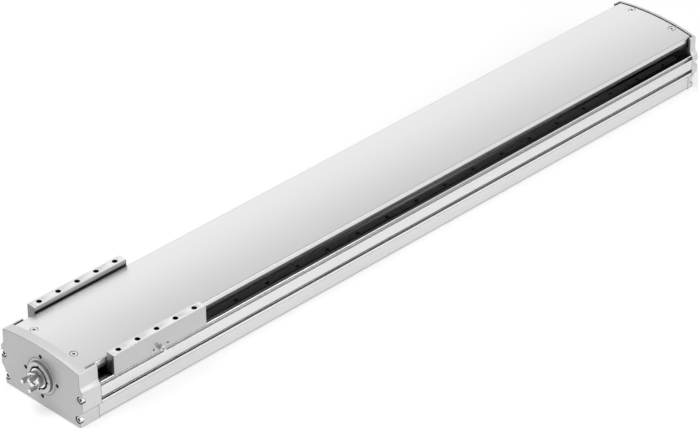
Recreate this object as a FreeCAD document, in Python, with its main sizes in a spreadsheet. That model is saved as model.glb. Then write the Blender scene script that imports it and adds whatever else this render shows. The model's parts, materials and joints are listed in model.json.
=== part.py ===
import FreeCAD, Part
import math
import os
import re
import Sketcher

# A ball screw linear axis in millimetres.
# X runs from the drive end to the far end, Z is up, and the origin is the middle of the base's underside.
doc = FreeCAD.newDocument("ball_screw_axis")
Vector = FreeCAD.Vector
Rotation = FreeCAD.Rotation

# Driving sizes
sizes = {
    # base extrusion
    "base_length": 1212,
    "foot_width": 155,
    "foot_chamfer": 1.5,
    "body_width": 168,
    "slope_start": 22,
    "slope_rise": 7.5,
    "side_wall": 9,
    "lip_round": 1.2,
    "shelf_height": 37,
    "shelf_thickness": 6,
    "shelf_margin": 6.5,
    "floor_thickness": 14,
    "slot_rise": 3.7,
    "slot_opening": 5.6,
    "slot_neck": 2.2,
    "slot_room": 9.2,
    "slot_depth": 6,
    "groove_drop": 1.5,
    "groove_height": 6.5,
    "groove_depth": 4.5,
    "under_slot_spacing": 60,
    "under_slot_opening": 8.2,
    "under_slot_neck": 3,
    "under_slot_room": 13,
    "under_slot_depth": 7.5,
    "chamber_floor": 5,
    "chamber_wall": 8.5,
    "chamber_rib": 4,
    # end caps
    "drive_cap_length": 35,
    "drive_rim": 16.5,
    "end_cap_thickness": 13,
    "end_rim": 4.3,
    "cap_proud": 1,
    "cap_wall": 3.5,
    "flare_height": 12.5,
    "flare_drop": 6.5,
    "boss_radius": 28,
    "boss_length": 10,
    "tongue_depth": 20,
    "tongue_gap": 1,
    "skirt_room": 2,
    # arched cover
    "crown_radius": 415,
    "cover_setback": 11,
    "cover_slit": 2,
    "cover_thickness": 3,
    "cover_side": 6.4,
    "cover_skirt": 8.7,
    "cover_tuck": 3,
    "cover_round": 0.8,
    "cover_end_gap": 0.5,
    "cover_far_gap": 1.2,
    "cover_screw_spacing": 82,
    "cover_screw_inset": 8.3,
    "cover_screw_sink": 0.2,
    # fasteners of cap and cover
    "cap_screw_radius": 2.5,
    "cap_screw_bite": 14,
    "cap_hole_clearance": 0.4,
    "cap_head_radius": 4.25,
    "cap_head_height": 5,
    "cap_head_room": 5.75,
    "cap_head_sink": 6,
    "upper_screw_rise": 7.05,
    "upper_screw_inset": 4.8,
    "lower_screw_height": 12.5,
    "lower_screw_inset": 3.7,
    "cover_screw_radius": 2.5,
    "cover_screw_length": 9,
    "cover_head_radius": 5,
    "thread_clearance": 0.05,
    # guide rails and runner blocks
    "rail_width": 15,
    "rail_height": 14,
    "rail_chamfer": 0.8,
    "waist_depth": 1.4,
    "waist_height": 7.2,
    "waist_opening": 4.8,
    "waist_flat": 2,
    "rail_end_gap": 6,
    "rail_hole_pitch": 60,
    "rail_hole_end": 30,
    "rail_hole_radius": 2.25,
    "rail_screw_radius": 2,
    "rail_head_radius": 3.5,
    "rail_head_height": 4,
    "rail_head_room": 3.75,
    "rail_head_sink": 5.3,
    "guide_height": 24,
    "guide_clearance": 0.3,
    "block_width": 34,
    "block_length": 41,
    "block_lift": 4.3,
    "block_side_gap": 2,
    "block_inset": 3,
    "end_plate_length": 8,
    "end_plate_step": 0.8,
    "block_screw_spacing": 26,
    "block_screw_radius": 2,
    "block_screw_depth": 6,
    "block_head_radius": 3.5,
    "block_head_height": 4,
    "head_clearance": 0.3,
    # carriage
    "rest_gap": 20,
    "carriage_length": 170,
    "plate_thickness": 6.5,
    "wing_gap": 1.5,
    "arm_gap": 3.5,
    "housing_gap": 6,
    "housing_wall": 4.4,
    "housing_chamfer": 8,
    "housing_headroom": 7,
    "bar_gap": 1.2,
    "bar_thickness": 15.2,
    "bar_rise": 3,
    "bar_round": 0.8,
    "foot_thickness": 5.5,
    "foot_reach": 6,
    "skirt_gap": 1.5,
    "bar_hole_pitch": 35,
    "bar_hole_radius": 4,
    "bar_hole_depth": 16,
    "bar_screw_offset": 4,
    "bar_screw_radius": 2,
    "bar_screw_spare": 0.5,
    "bar_head_radius": 3.5,
    "bar_head_height": 3,
    "port_spacing": 26,
    "port_radius": 1.25,
    "port_depth": 6,
    "port_height": 5.9,
    "nipple_height": 3.7,
    "nipple_radius": 2.5,
    "nipple_base_radius": 4,
    "nipple_base_length": 3.5,
    "nipple_neck_radius": 1.9,
    "nipple_neck_length": 2,
    "nipple_tip_radius": 2.9,
    "nipple_nose_radius": 1.2,
    "nipple_length": 10,
    "nipple_thread_length": 6,
    # screw, bearings and coupling
    "axis_height": 48.4,
    "screw_radius": 10,
    "fixed_journal_radius": 8.5,
    "fixed_bearing_radius": 20,
    "fixed_bearing_width": 12,
    "float_journal_radius": 7.5,
    "float_bearing_radius": 17.5,
    "float_bearing_width": 11,
    "float_setback": 0.5,
    "float_bore_spare": 2.5,
    "inner_ring_wall": 3.2,
    "outer_ring_wall": 4.2,
    "shield_gap": 0.3,
    "shield_thickness": 1,
    "rear_lip": 3,
    "rear_lip_step": 4,
    "seat_clearance": 0.02,
    "lock_nut_radius": 15,
    "lock_nut_length": 14,
    "lock_nut_nose": 1,
    "collar_radius": 24.3,
    "collar_bore": 17.5,
    "collar_rise": 5,
    "collar_round": 1.3,
    "collar_flange_radius": 27.6,
    "collar_flange_depth": 3,
    "collar_flange_gap": 0.4,
    "collar_notch_width": 2.4,
    "collar_notch_depth": 3,
    "seal_width": 5,
    "seal_gap": 0.3,
    "seal_setback": 0.5,
    "stub_radius": 6,
    "stub_setback": 1.5,
    "stub_chamfer": 0.8,
    "hub_radius": 12.5,
    "hub_length": 8.7,
    "hub_gap": 0.3,
    "jaw_length": 11.5,
    "jaw_inner_radius": 7,
    "jaw_width": 6,
    "set_screw_radius": 2,
    "circlip_thickness": 1.2,
    "circlip_groove": 0.5,
    "circlip_height": 2.5,
    "circlip_play": 0.05,
    "shaft_end_spare": 1,
    "motor_hole_circle": 65,
    "motor_hole_radius": 3,
    "motor_hole_depth": 14,
    # ball nut
    "nut_radius": 18,
    "nut_length": 52,
    "nut_clearance": 0.35,
    "flange_radius": 29,
    "flange_flat": 22,
    "flange_thickness": 10,
    "flange_room": 0.5,
    "nut_screw_offset": 16.4,
    "nut_screw_radius": 2.5,
    "nut_screw_bite": 12,
    "nut_head_radius": 4.25,
    "nut_head_height": 5,
    "wiper_radius": 14,
    "wiper_width": 3,
    "wiper_gap": 0.15,
    # buffers
    "buffer_radius": 6,
    "buffer_spacing": 48,
    "buffer_level": 7,
    "drive_buffer_length": 12,
    "end_buffer_length": 8,
    "buffer_stud_radius": 3,
    "buffer_stud_length": 8,
}

# Levels and places that follow from the driving sizes
followers = {
    "base_start": "-base_length / 2",
    "base_end": "base_length / 2",
    "front_face": "base_start - drive_cap_length",
    "end_face": "base_end + end_cap_thickness",
    "half_foot": "foot_width / 2",
    "half_body": "body_width / 2",
    "slope_end": "slope_start + slope_rise",
    "slot_low": "slope_end + slot_rise",
    "slot_high": "slot_low + slot_opening",
    "slot_middle": "slot_low + slot_opening / 2",
    "inner_wall": "half_body - side_wall",
    "rail_place": "inner_wall - block_side_gap - block_width / 2",
    "half_trough": "rail_place - rail_width / 2 - shelf_margin",
    "plate_low": "shelf_height + guide_height",
    "plate_high": "plate_low + plate_thickness",
    "lip_height": "plate_high - arm_gap",
    "groove_high": "lip_height - groove_drop",
    "groove_low": "groove_high - groove_height",
    "foot_high": "plate_high + foot_thickness",
    "half_cover": "half_body - cover_setback",
    "cover_low": "foot_high + skirt_gap",
    "cover_bend": "cover_low + cover_skirt",
    "cover_edge": "cover_bend + cover_side",
    "crown_height": "cover_edge + crown_radius - sqrt(crown_radius ^ 2 - half_cover ^ 2)",
    "half_recess": "half_cover + cover_slit",
    "half_tongue": "half_cover - cover_tuck - cover_thickness - tongue_gap",
    "recess_low": "cover_low - skirt_room",
    "half_shoulder": "half_recess + cap_wall",
    "flare_low": "lip_height - flare_drop",
    "flare_high": "flare_low + flare_height",
    "flare_width": "half_body - half_shoulder",
    "flare_radius": "(flare_width ^ 2 + flare_height ^ 2) / (4 * flare_width)",
    "upper_screw_height": "slot_middle + slot_room / 2 + upper_screw_rise",
    "upper_screw_place": "half_body - upper_screw_inset",
    "lower_screw_place": "half_foot - lower_screw_inset",
    "cover_start": "front_face + drive_rim + cover_end_gap",
    "cover_end": "end_face - end_rim - cover_far_gap",
    "carriage_start": "base_start + rest_gap",
    "carriage_end": "carriage_start + carriage_length",
    "carriage_middle": "carriage_start + carriage_length / 2",
    "half_wing": "inner_wall - wing_gap",
    "half_housing": "half_trough - housing_gap",
    "housing_low": "axis_height - nut_radius - housing_wall",
    "housing_high": "crown_height - cover_thickness - housing_headroom",
    "bar_inner": "half_cover + bar_gap",
    "bar_outer": "bar_inner + bar_thickness",
    "bar_high": "crown_height + bar_rise",
    "bar_middle": "bar_inner + bar_thickness / 2",
    "foot_inner": "rail_place - foot_reach",
    "rail_start": "base_start + rail_end_gap",
    "rail_end": "base_end - rail_end_gap",
    "rail_top": "shelf_height + rail_height",
    "bearing_rear": "base_start - rear_lip",
    "bearing_front": "bearing_rear - 2 * fixed_bearing_width",
    "lock_front": "bearing_front - lock_nut_length",
    "hub_rear": "lock_front - hub_gap",
    "hub_front": "hub_rear - hub_length",
    "float_start": "base_end - boss_length + float_setback",
    "float_end": "float_start + float_bearing_width",
    "shaft_end": "float_end + circlip_thickness + shaft_end_spare",
    "nut_start": "carriage_start + flange_thickness",
    "nut_end": "carriage_start + nut_length",
    "nut_bore": "screw_radius + nut_clearance",
    "block_run": "block_length + 2 * end_plate_length",
    "front_block": "carriage_start + block_inset",
    "rear_block": "carriage_end - block_inset - block_run",
    "front_block_middle": "front_block + block_run / 2",
    "rear_block_middle": "rear_block + block_run / 2",
    "nipple_place": "plate_high + nipple_height",
    "shaft_start": "hub_front + stub_setback",
    "buffer_height": "housing_high - buffer_level",
}

sheet = doc.addObject("Spreadsheet::Sheet", "Sizes")
for row, (alias, amount) in enumerate(sizes.items(), start=1):
    sheet.set(f"A{row}", alias.replace("_", " "))
    sheet.set(f"B{row}", str(amount))
    sheet.setAlias(f"B{row}", alias)
doc.recompute()


# Writes a formula of plain size names the way the document refers to them
def formula(text):
    def refer(match):
        word = match.group(0)
        if word in sizes:
            return "Sizes." + word
        if word in followers:
            return "Places." + word
        return word

    return re.sub(r"[a-z_]+", refer, str(text))


places = doc.addObject("App::VarSet", "Places")
for name, text in followers.items():
    places.addProperty("App::PropertyFloat", name, "Places")
    places.setExpression(name, formula(text).replace("Places.", ""))
doc.recompute()

nodes = []
turns = {
    "+X": Rotation(Vector(0, 1, 0), 90),
    "-X": Rotation(Vector(0, 1, 0), -90),
    "+Y": Rotation(Vector(1, 0, 0), -90),
    "-Y": Rotation(Vector(1, 0, 0), 90),
    "+Z": Rotation(),
    "-Z": Rotation(Vector(1, 0, 0), 180),
}
opposite = {"+X": "-X", "-X": "+X", "+Y": "-Y", "-Y": "+Y", "+Z": "-Z", "-Z": "+Z"}
sides = {"left": 1, "right": -1}


def number(text):
    return float(sheet.evalExpression(formula(text)))


def negative(text):
    return f"-({text})"


def signed(text, sign):
    return str(text) if sign > 0 else negative(text)


def bind(thing, **amounts):
    for path, text in amounts.items():
        thing.setExpression(path, formula(text))


def place(thing, spot, direction="+Z"):
    thing.Placement = FreeCAD.Placement(Vector(), turns[direction])
    for axis, text in zip("xyz", spot):
        thing.setExpression(f"Placement.Base.{axis}", formula(text))


def node(label, thing):
    thing.Label = label
    nodes.append(thing)
    return thing


# Height of the crown's arch, lowered by a depth, above a distance from the middle plane
def arch(distance, depth="0"):
    radius = f"(crown_radius - {depth})"
    return f"(crown_height - crown_radius + sqrt({radius} ^ 2 - ({distance}) ^ 2))"


# Sketches and features of a body
def origin_part(body, role):
    return next(part for part in body.Origin.OriginFeatures if part.Role == role)


def new_body(label):
    return node(label, doc.addObject("PartDesign::Body", "Body"))


def new_sketch(body, plane, lift="0", rise="0", shift="0"):
    sketch = body.newObject("Sketcher::SketchObject", "Sketch")
    sketch.AttachmentSupport = [(origin_part(body, plane), "")]
    sketch.MapMode = "FlatFace"
    for axis, text in zip("xyz", (shift, rise, lift)):
        sketch.setExpression(f"AttachmentOffset.Base.{axis}", formula(text))
    return sketch


# Middle point of the arc between two points: a positive radius turns left, a negative one right
def arc_middle(start, end, radius):
    chord = end - start
    half = chord.Length / 2
    sagitta = abs(radius) - math.sqrt(radius ** 2 - half ** 2)
    outward = Vector(chord.y, -chord.x, 0).normalize()
    return (start + end) * 0.5 + outward * math.copysign(sagitta, radius)


# Closed outline through corners (across, up) or (across, up, radius of the edge to the next corner)
def draw_outline(sketch, corners):
    points = [Vector(number(corner[0]), number(corner[1]), 0) for corner in corners]
    first = sketch.GeometryCount
    starts = []
    ends = []
    for index, corner in enumerate(corners):
        start = points[index]
        end = points[(index + 1) % len(points)]
        edge = first + index
        if len(corner) == 2:
            sketch.addGeometry(Part.LineSegment(start, end))
            starts.append((edge, 1))
            ends.append((edge, 2))
            continue
        radius = number(corner[2])
        sketch.addGeometry(Part.Arc(start, arc_middle(start, end, radius), end))
        starts.append((edge, 1 if radius > 0 else 2))
        ends.append((edge, 2 if radius > 0 else 1))
        held = sketch.addConstraint(Sketcher.Constraint("Radius", edge, abs(radius)))
        sketch.setExpression(f"Constraints[{held}]", formula(f"abs({corner[2]})"))
    for index, corner in enumerate(corners):
        sketch.addConstraint(Sketcher.Constraint("Coincident", *ends[index - 1], *starts[index]))
        for kind, text, amount in zip(("DistanceX", "DistanceY"), corner, points[index]):
            held = sketch.addConstraint(Sketcher.Constraint(kind, *starts[index], amount))
            sketch.setExpression(f"Constraints[{held}]", formula(text))


def draw_circle(sketch, across, up, radius):
    centre = Vector(number(across), number(up), 0)
    edge = sketch.addGeometry(Part.Circle(centre, Vector(0, 0, 1), number(radius)))
    for kind, text, amount in (("DistanceX", across, centre.x), ("DistanceY", up, centre.y)):
        held = sketch.addConstraint(Sketcher.Constraint(kind, edge, 3, amount))
        sketch.setExpression(f"Constraints[{held}]", formula(text))
    held = sketch.addConstraint(Sketcher.Constraint("Radius", edge, number(radius)))
    sketch.setExpression(f"Constraints[{held}]", formula(radius))


# The same outline on the other side of the middle plane, still running anticlockwise
def mirrored(corners):
    count = len(corners)
    return [(negative(corners[k][0]), corners[k][1], *corners[k - 1][2:]) for k in reversed(range(count))]


# The right half's corners and then the left half's, with the radius of the edge that closes the outline
def both_halves(half, *closing):
    left = mirrored(half)
    left[-1] = (*left[-1][:2], *closing)
    return list(half) + left


def shifted(corners, across, up):
    return [(f"{across} + ({u})", f"{up} + ({v})", *edge) for u, v, *edge in corners]


def rectangle(left, right, low, high):
    return [(left, low), (right, low), (right, high), (left, high)]


def pad(body, sketch, length, back=False, middle=False):
    feature = body.newObject("PartDesign::Pad", "Pad")
    feature.Profile = sketch
    feature.Midplane = middle
    feature.Reversed = back
    bind(feature, Length=length)
    return feature


def pocket(body, sketch, length, back=False):
    feature = body.newObject("PartDesign::Pocket", "Pocket")
    feature.Profile = sketch
    feature.Reversed = back
    bind(feature, Length=length)
    return feature


def revolve(body, sketch, axis):
    feature = body.newObject("PartDesign::Revolution", "Revolution")
    feature.Profile = sketch
    feature.ReferenceAxis = (sketch, [axis])
    feature.Angle = 360
    return feature


def drill(body, radius, depth, spot, direction):
    feature = body.newObject("PartDesign::SubtractiveCylinder", "Drill")
    bind(feature, Radius=radius, Height=depth)
    place(feature, spot, direction)
    return feature


def countersink(body, radius, end_radius, depth, spot):
    feature = body.newObject("PartDesign::SubtractiveCone", "Countersink")
    bind(feature, Radius1=radius, Radius2=end_radius, Height=depth)
    place(feature, spot, "-Z")


def mill(body, corner, length, width, height):
    feature = body.newObject("PartDesign::SubtractiveBox", "Mill")
    bind(feature, Length=length, Width=width, Height=height)
    place(feature, corner)
    return feature


def repeat(body, original, length, count):
    feature = body.newObject("PartDesign::LinearPattern", "Pattern")
    feature.Originals = [original]
    feature.Direction = (origin_part(body, "X_Axis"), [""])
    feature.Occurrences = count
    bind(feature, Length=length)
    body.Tip = feature


def repeat_around(body, original, count):
    feature = body.newObject("PartDesign::PolarPattern", "Pattern")
    feature.Originals = [original]
    feature.Axis = (origin_part(body, "X_Axis"), [""])
    feature.Angle = 360
    feature.Occurrences = count
    body.Tip = feature


# A piece turned about the screw's axis, from corners (place along X, radius)
def turned(label, corners):
    body = new_body(label)
    sketch = new_sketch(body, "XZ_Plane", rise="axis_height")
    draw_outline(sketch, corners)
    revolve(body, sketch, "H_Axis")
    return body


# Plain solids
def cylinder(radius, length, spot, direction):
    solid = doc.addObject("Part::Cylinder", "Cylinder")
    bind(solid, Radius=radius, Height=length)
    place(solid, spot, direction)
    return solid


def cone(start_radius, end_radius, length, spot, direction):
    solid = doc.addObject("Part::Cone", "Cone")
    bind(solid, Radius1=start_radius, Radius2=end_radius, Height=length)
    place(solid, spot, direction)
    return solid


def fused(pieces):
    solid = doc.addObject("Part::MultiFuse", "Fuse")
    solid.Shapes = pieces
    return solid


def grouped(label, pieces):
    group = doc.addObject("Part::Compound", "Group")
    group.Links = pieces
    return node(label, group)


# A socket head screw: its head stands outward from the seat and its shank goes the other way
def cap_screw(seat, outward, head_radius, head_height, radius, length):
    head = cylinder(head_radius, head_height, seat, outward)
    shank = cylinder(radius, length, seat, opposite[outward])
    return fused([head, shank])


# Places of the cap screws, of the countersunk screws and of the motor flange's holes
cap_screw_spots = [
    (signed(f"{level}_screw_place", sign), f"{level}_screw_height")
    for level in ("upper", "lower")
    for sign in sides.values()
]
cover_screw_spots = [
    (along, signed("cover_screw_spacing / 2", sign))
    for along in ("cover_start + cover_screw_inset", "cover_end - cover_screw_inset")
    for sign in sides.values()
]
quarter_turns = ((1, 0), (0, 1), (-1, 0), (0, -1))
diagonals = ((1, 1), (-1, 1), (-1, -1), (1, -1))
block_middles = {"front": "front_block_middle", "rear": "rear_block_middle"}
rounding = 1e-6
rail_hole_run = number("rail_end - rail_start - 2 * rail_hole_end")
rail_hole_count = 1 + math.floor(rail_hole_run / number("rail_hole_pitch") + rounding)
rail_pattern = f"{rail_hole_count - 1} * rail_hole_pitch"
bar_hole_count = 5


def block_screw_spots():
    for middle in block_middles.values():
        for side in sides.values():
            for ahead, out in diagonals:
                along = f"{middle} + {ahead} * block_screw_spacing / 2"
                yield along, signed(f"rail_place + {out} * block_screw_spacing / 2", side)


def bar_screw_spots(side):
    for along in ("front_block_middle", "carriage_middle", "rear_block_middle"):
        yield along, signed("rail_place + bar_screw_offset", side)


# Base extrusion: rail shelves, a trough for the screw, slots in its sides and underside, and screw channels
def base_profile():
    under = "under_slot_spacing / 2"
    half = [
        (f"{under} - under_slot_opening / 2", "0"),
        (f"{under} - under_slot_opening / 2", "under_slot_neck"),
        (f"{under} - under_slot_room / 2", "under_slot_neck"),
        (f"{under} - under_slot_room / 2", "under_slot_depth"),
        (f"{under} + under_slot_room / 2", "under_slot_depth"),
        (f"{under} + under_slot_room / 2", "under_slot_neck"),
        (f"{under} + under_slot_opening / 2", "under_slot_neck"),
        (f"{under} + under_slot_opening / 2", "0"),
        ("half_foot - foot_chamfer", "0"),
        ("half_foot", "foot_chamfer"),
        ("half_foot", "slope_start"),
        ("half_body", "slope_end"),
        ("half_body", "slot_low"),
        ("half_body - slot_neck", "slot_low"),
        ("half_body - slot_neck", "slot_middle - slot_room / 2"),
        ("half_body - slot_depth", "slot_middle - slot_room / 2"),
        ("half_body - slot_depth", "slot_middle + slot_room / 2"),
        ("half_body - slot_neck", "slot_middle + slot_room / 2"),
        ("half_body - slot_neck", "slot_high"),
        ("half_body", "slot_high"),
        ("half_body", "groove_low"),
        ("half_body - groove_depth", "groove_low"),
        ("half_body - groove_depth", "groove_high"),
        ("half_body", "groove_high"),
        ("half_body", "lip_height - lip_round", "lip_round"),
        ("half_body - lip_round", "lip_height"),
        ("inner_wall", "lip_height"),
        ("inner_wall", "shelf_height"),
        ("half_trough", "shelf_height"),
        ("half_trough", "floor_thickness"),
    ]
    shelf_low = "shelf_height - shelf_thickness"
    chamber = rectangle("half_trough + chamber_rib", "half_foot - chamber_wall", "chamber_floor", shelf_low)
    body = new_body("base_profile")
    section = new_sketch(body, "YZ_Plane")
    draw_outline(section, both_halves(half))
    draw_outline(section, chamber)
    draw_outline(section, mirrored(chamber))
    for across, height in cap_screw_spots:
        draw_circle(section, across, height, "cap_screw_radius + thread_clearance")
    pad(body, section, "base_length", middle=True)
    for side in sides.values():
        spot = ("rail_start + rail_hole_end", signed("rail_place", side), "shelf_height")
        hole = drill(body, "rail_screw_radius + thread_clearance", "shelf_thickness", spot, "-Z")
        repeat(body, hole, rail_pattern, rail_hole_count)


# Outline that both caps share: foot, slope, wide waist, S-shaped flare, shoulder and arched crown
def cap_outline():
    half = [
        ("half_foot", "0"),
        ("half_foot", "slope_start"),
        ("half_body", "slope_end"),
        ("half_body", "flare_low", "flare_radius"),
        ("half_body - flare_width / 2", "flare_low + flare_height / 2", "-flare_radius"),
        ("half_shoulder", "flare_high"),
        ("half_shoulder", arch("half_shoulder", "(-cap_proud)"), "crown_radius + cap_proud"),
    ]
    return both_halves(half)


# Room for the cover's end: its arch rests on a tongue, and its skirts hang in a slot on each side
def cover_recess(body, lift, depth, back):
    half = [
        ("half_tongue", arch("half_tongue", "cover_thickness")),
        ("half_tongue", "recess_low"),
        ("half_recess", "recess_low"),
        ("half_recess", "crown_height + cover_thickness"),
    ]
    section = new_sketch(body, "YZ_Plane", lift)
    draw_outline(section, both_halves(half, "-(crown_radius - cover_thickness)"))
    pocket(body, section, depth, back)


# Holes that both caps have, drilled inward from the outer face
def cap_holes(body, face, thickness, inward, seat, stud_way):
    for across, height in cap_screw_spots:
        drill(body, "cap_head_room", "cap_head_sink", (face, across, height), inward)
        drill(body, "cap_screw_radius + cap_hole_clearance", thickness, (face, across, height), inward)
    stud_depth = "buffer_stud_length + seat_clearance"
    for side in sides.values():
        spot = (seat, signed("buffer_spacing / 2", side), "buffer_height")
        drill(body, "buffer_stud_radius + thread_clearance", stud_depth, spot, stud_way)


def cover_screw_hole(body, along, across):
    spot = (along, across, arch(across))
    drill(body, "cover_screw_radius + thread_clearance", "cover_screw_length + cover_thickness", spot, "-Z")


def drive_cap():
    body = new_body("drive_cap")
    outline = new_sketch(body, "YZ_Plane", "front_face")
    draw_outline(outline, cap_outline())
    pad(body, outline, "drive_cap_length")
    cover_recess(body, "base_start", "drive_cap_length - drive_rim", back=False)
    cap_holes(body, "front_face", "drive_cap_length", "+X", "base_start", "-X")
    centre = ("front_face", "0", "axis_height")
    drill(body, "fixed_bearing_radius + seat_clearance", "drive_cap_length - rear_lip", centre, "+X")
    drill(body, "fixed_bearing_radius - rear_lip_step", "drive_cap_length", centre, "+X")
    drill(body, "collar_flange_radius + collar_flange_gap", "collar_flange_depth", centre, "+X")
    for across, up in quarter_turns:
        height = f"axis_height + {up} * motor_hole_circle / 2"
        spot = ("front_face", f"{across} * motor_hole_circle / 2", height)
        drill(body, "motor_hole_radius", "motor_hole_depth", spot, "+X")
    for along, across in cover_screw_spots[:2]:
        cover_screw_hole(body, along, across)


def end_cap():
    body = new_body("end_cap")
    outline = new_sketch(body, "YZ_Plane", "base_end")
    draw_outline(outline, cap_outline())
    pad(body, outline, "end_cap_thickness")
    cover_recess(body, "base_end", "end_cap_thickness - end_rim", back=True)
    boss = new_sketch(body, "YZ_Plane", "base_end")
    draw_circle(boss, "0", "axis_height", "boss_radius")
    pad(body, boss, "boss_length", back=True)
    tongue_half = [
        ("half_tongue", f"{arch('half_tongue', 'cover_thickness')} - tongue_depth"),
        ("half_tongue", arch("half_tongue", "cover_thickness"), "crown_radius - cover_thickness"),
    ]
    tongue = new_sketch(body, "YZ_Plane", "base_end")
    draw_outline(tongue, both_halves(tongue_half))
    pad(body, tongue, "boss_length", back=True)
    cap_holes(body, "end_face", "end_cap_thickness", "-X", "base_end - boss_length", "+X")
    bore_depth = "float_setback + float_bearing_width + float_bore_spare"
    spot = ("base_end - boss_length", "0", "axis_height")
    drill(body, "float_bearing_radius + seat_clearance", bore_depth, spot, "+X")
    for along, across in cover_screw_spots[2:]:
        cover_screw_hole(body, along, across)


# Arched cover with a rounded edge, a short side and a skirt that tucks inward
def cover():
    inner = "half_cover - cover_thickness"
    half = [
        (inner, arch(inner, "cover_thickness")),
        (inner, "cover_bend"),
        (f"{inner} - cover_tuck", "cover_low"),
        ("half_cover - cover_tuck", "cover_low"),
        ("half_cover", "cover_bend"),
        ("half_cover", "cover_edge - cover_round", "cover_round"),
        ("half_cover - cover_round", arch("half_cover - cover_round"), "crown_radius"),
    ]
    body = new_body("cover")
    section = new_sketch(body, "YZ_Plane", "cover_start")
    draw_outline(section, both_halves(half, "-(crown_radius - cover_thickness)"))
    pad(body, section, "cover_end - cover_start")
    head_room = "cover_head_radius + head_clearance"
    shank_room = "cover_screw_radius + head_clearance"
    for along, across in cover_screw_spots:
        seat = (along, across, f"{arch(across)} - cover_screw_sink")
        drill(body, head_room, "cover_thickness", seat, "+Z")
        countersink(body, head_room, shank_room, "cover_head_radius - cover_screw_radius", seat)
        drill(body, shank_room, "2 * cover_thickness", seat, "-Z")


def cover_screws():
    pieces = []
    for along, across in cover_screw_spots:
        seat = (along, across, f"{arch(across)} - cover_screw_sink")
        depth = "cover_head_radius - cover_screw_radius"
        head = cone("cover_head_radius", "cover_screw_radius", depth, seat, "-Z")
        shank = cylinder("cover_screw_radius", "cover_screw_length", seat, "-Z")
        pieces.append(fused([head, shank]))
    grouped("cover_screws", pieces)


def cap_screws(label, face, thickness, outward):
    inward = 1 if outward == "-X" else -1
    pieces = []
    for across, height in cap_screw_spots:
        seat = (f"{face} + {inward} * cap_head_sink", across, height)
        length = f"{thickness} - cap_head_sink + cap_screw_bite"
        pieces.append(
            cap_screw(seat, outward, "cap_head_radius", "cap_head_height", "cap_screw_radius", length)
        )
    grouped(label, pieces)


# Right side of a guide rail's section, from its foot up to its chamfered top, let out by a clearance
def rail_side(clearance="0"):
    half_width = f"rail_width / 2 + {clearance}"
    return [
        (half_width, "waist_height - waist_opening / 2"),
        (f"{half_width} - waist_depth", "waist_height - waist_flat / 2"),
        (f"{half_width} - waist_depth", "waist_height + waist_flat / 2"),
        (half_width, "waist_height + waist_opening / 2"),
        (half_width, f"rail_height - rail_chamfer + {clearance}"),
        (f"{half_width} - rail_chamfer", f"rail_height + {clearance}"),
    ]


def guide_rail(label, side):
    body = new_body(label)
    section = new_sketch(body, "YZ_Plane", "rail_start")
    half = [("rail_width / 2", "0"), *rail_side()]
    draw_outline(section, shifted(both_halves(half), signed("rail_place", side), "shelf_height"))
    pad(body, section, "rail_end - rail_start")
    spot = ("rail_start + rail_hole_end", signed("rail_place", side), "rail_top")
    for radius, depth in (("rail_hole_radius", "rail_height"), ("rail_head_room", "rail_head_sink")):
        hole = drill(body, radius, depth, spot, "-Z")
        repeat(body, hole, rail_pattern, rail_hole_count)


def rail_screws(label, side):
    seat = "rail_top - rail_head_sink"
    low = "shelf_height - shelf_thickness"
    corners = [
        ("0", low),
        ("rail_screw_radius", low),
        ("rail_screw_radius", seat),
        ("rail_head_radius", seat),
        ("rail_head_radius", f"{seat} + rail_head_height"),
        ("0", f"{seat} + rail_head_height"),
    ]
    body = new_body(label)
    sketch = new_sketch(body, "XZ_Plane", signed("rail_place", -side), shift="rail_start + rail_hole_end")
    draw_outline(sketch, corners)
    screw = revolve(body, sketch, "V_Axis")
    repeat(body, screw, rail_pattern, rail_hole_count)


# Section of a runner that wraps around the rail, made smaller by a step
def runner_section(step="0"):
    inside = list(reversed(rail_side("guide_clearance")))
    half = [
        *inside,
        ("rail_width / 2 + guide_clearance", "block_lift"),
        (f"block_width / 2 - {step}", "block_lift"),
        (f"block_width / 2 - {step}", f"guide_height - {step}"),
    ]
    return both_halves(half)


def runner_block(row, side_name):
    side = sides[side_name]
    start = f"{row}_block"
    body = new_body(f"runner_block_{row}_{side_name}")
    section = new_sketch(body, "YZ_Plane", f"{start} + end_plate_length")
    draw_outline(section, shifted(runner_section(), signed("rail_place", side), "shelf_height"))
    pad(body, section, "block_length")
    for ahead, out in diagonals:
        along = f"{block_middles[row]} + {ahead} * block_screw_spacing / 2"
        across = signed(f"rail_place + {out} * block_screw_spacing / 2", side)
        spot = (along, across, "plate_low")
        drill(body, "block_screw_radius + thread_clearance", "block_screw_depth", spot, "-Z")
    plates = new_body(f"runner_end_plates_{row}_{side_name}")
    for lift in (start, f"{start} + end_plate_length + block_length"):
        section = new_sketch(plates, "YZ_Plane", lift)
        outline = runner_section("end_plate_step")
        draw_outline(section, shifted(outline, signed("rail_place", side), "shelf_height"))
        pad(plates, section, "end_plate_length")


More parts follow.
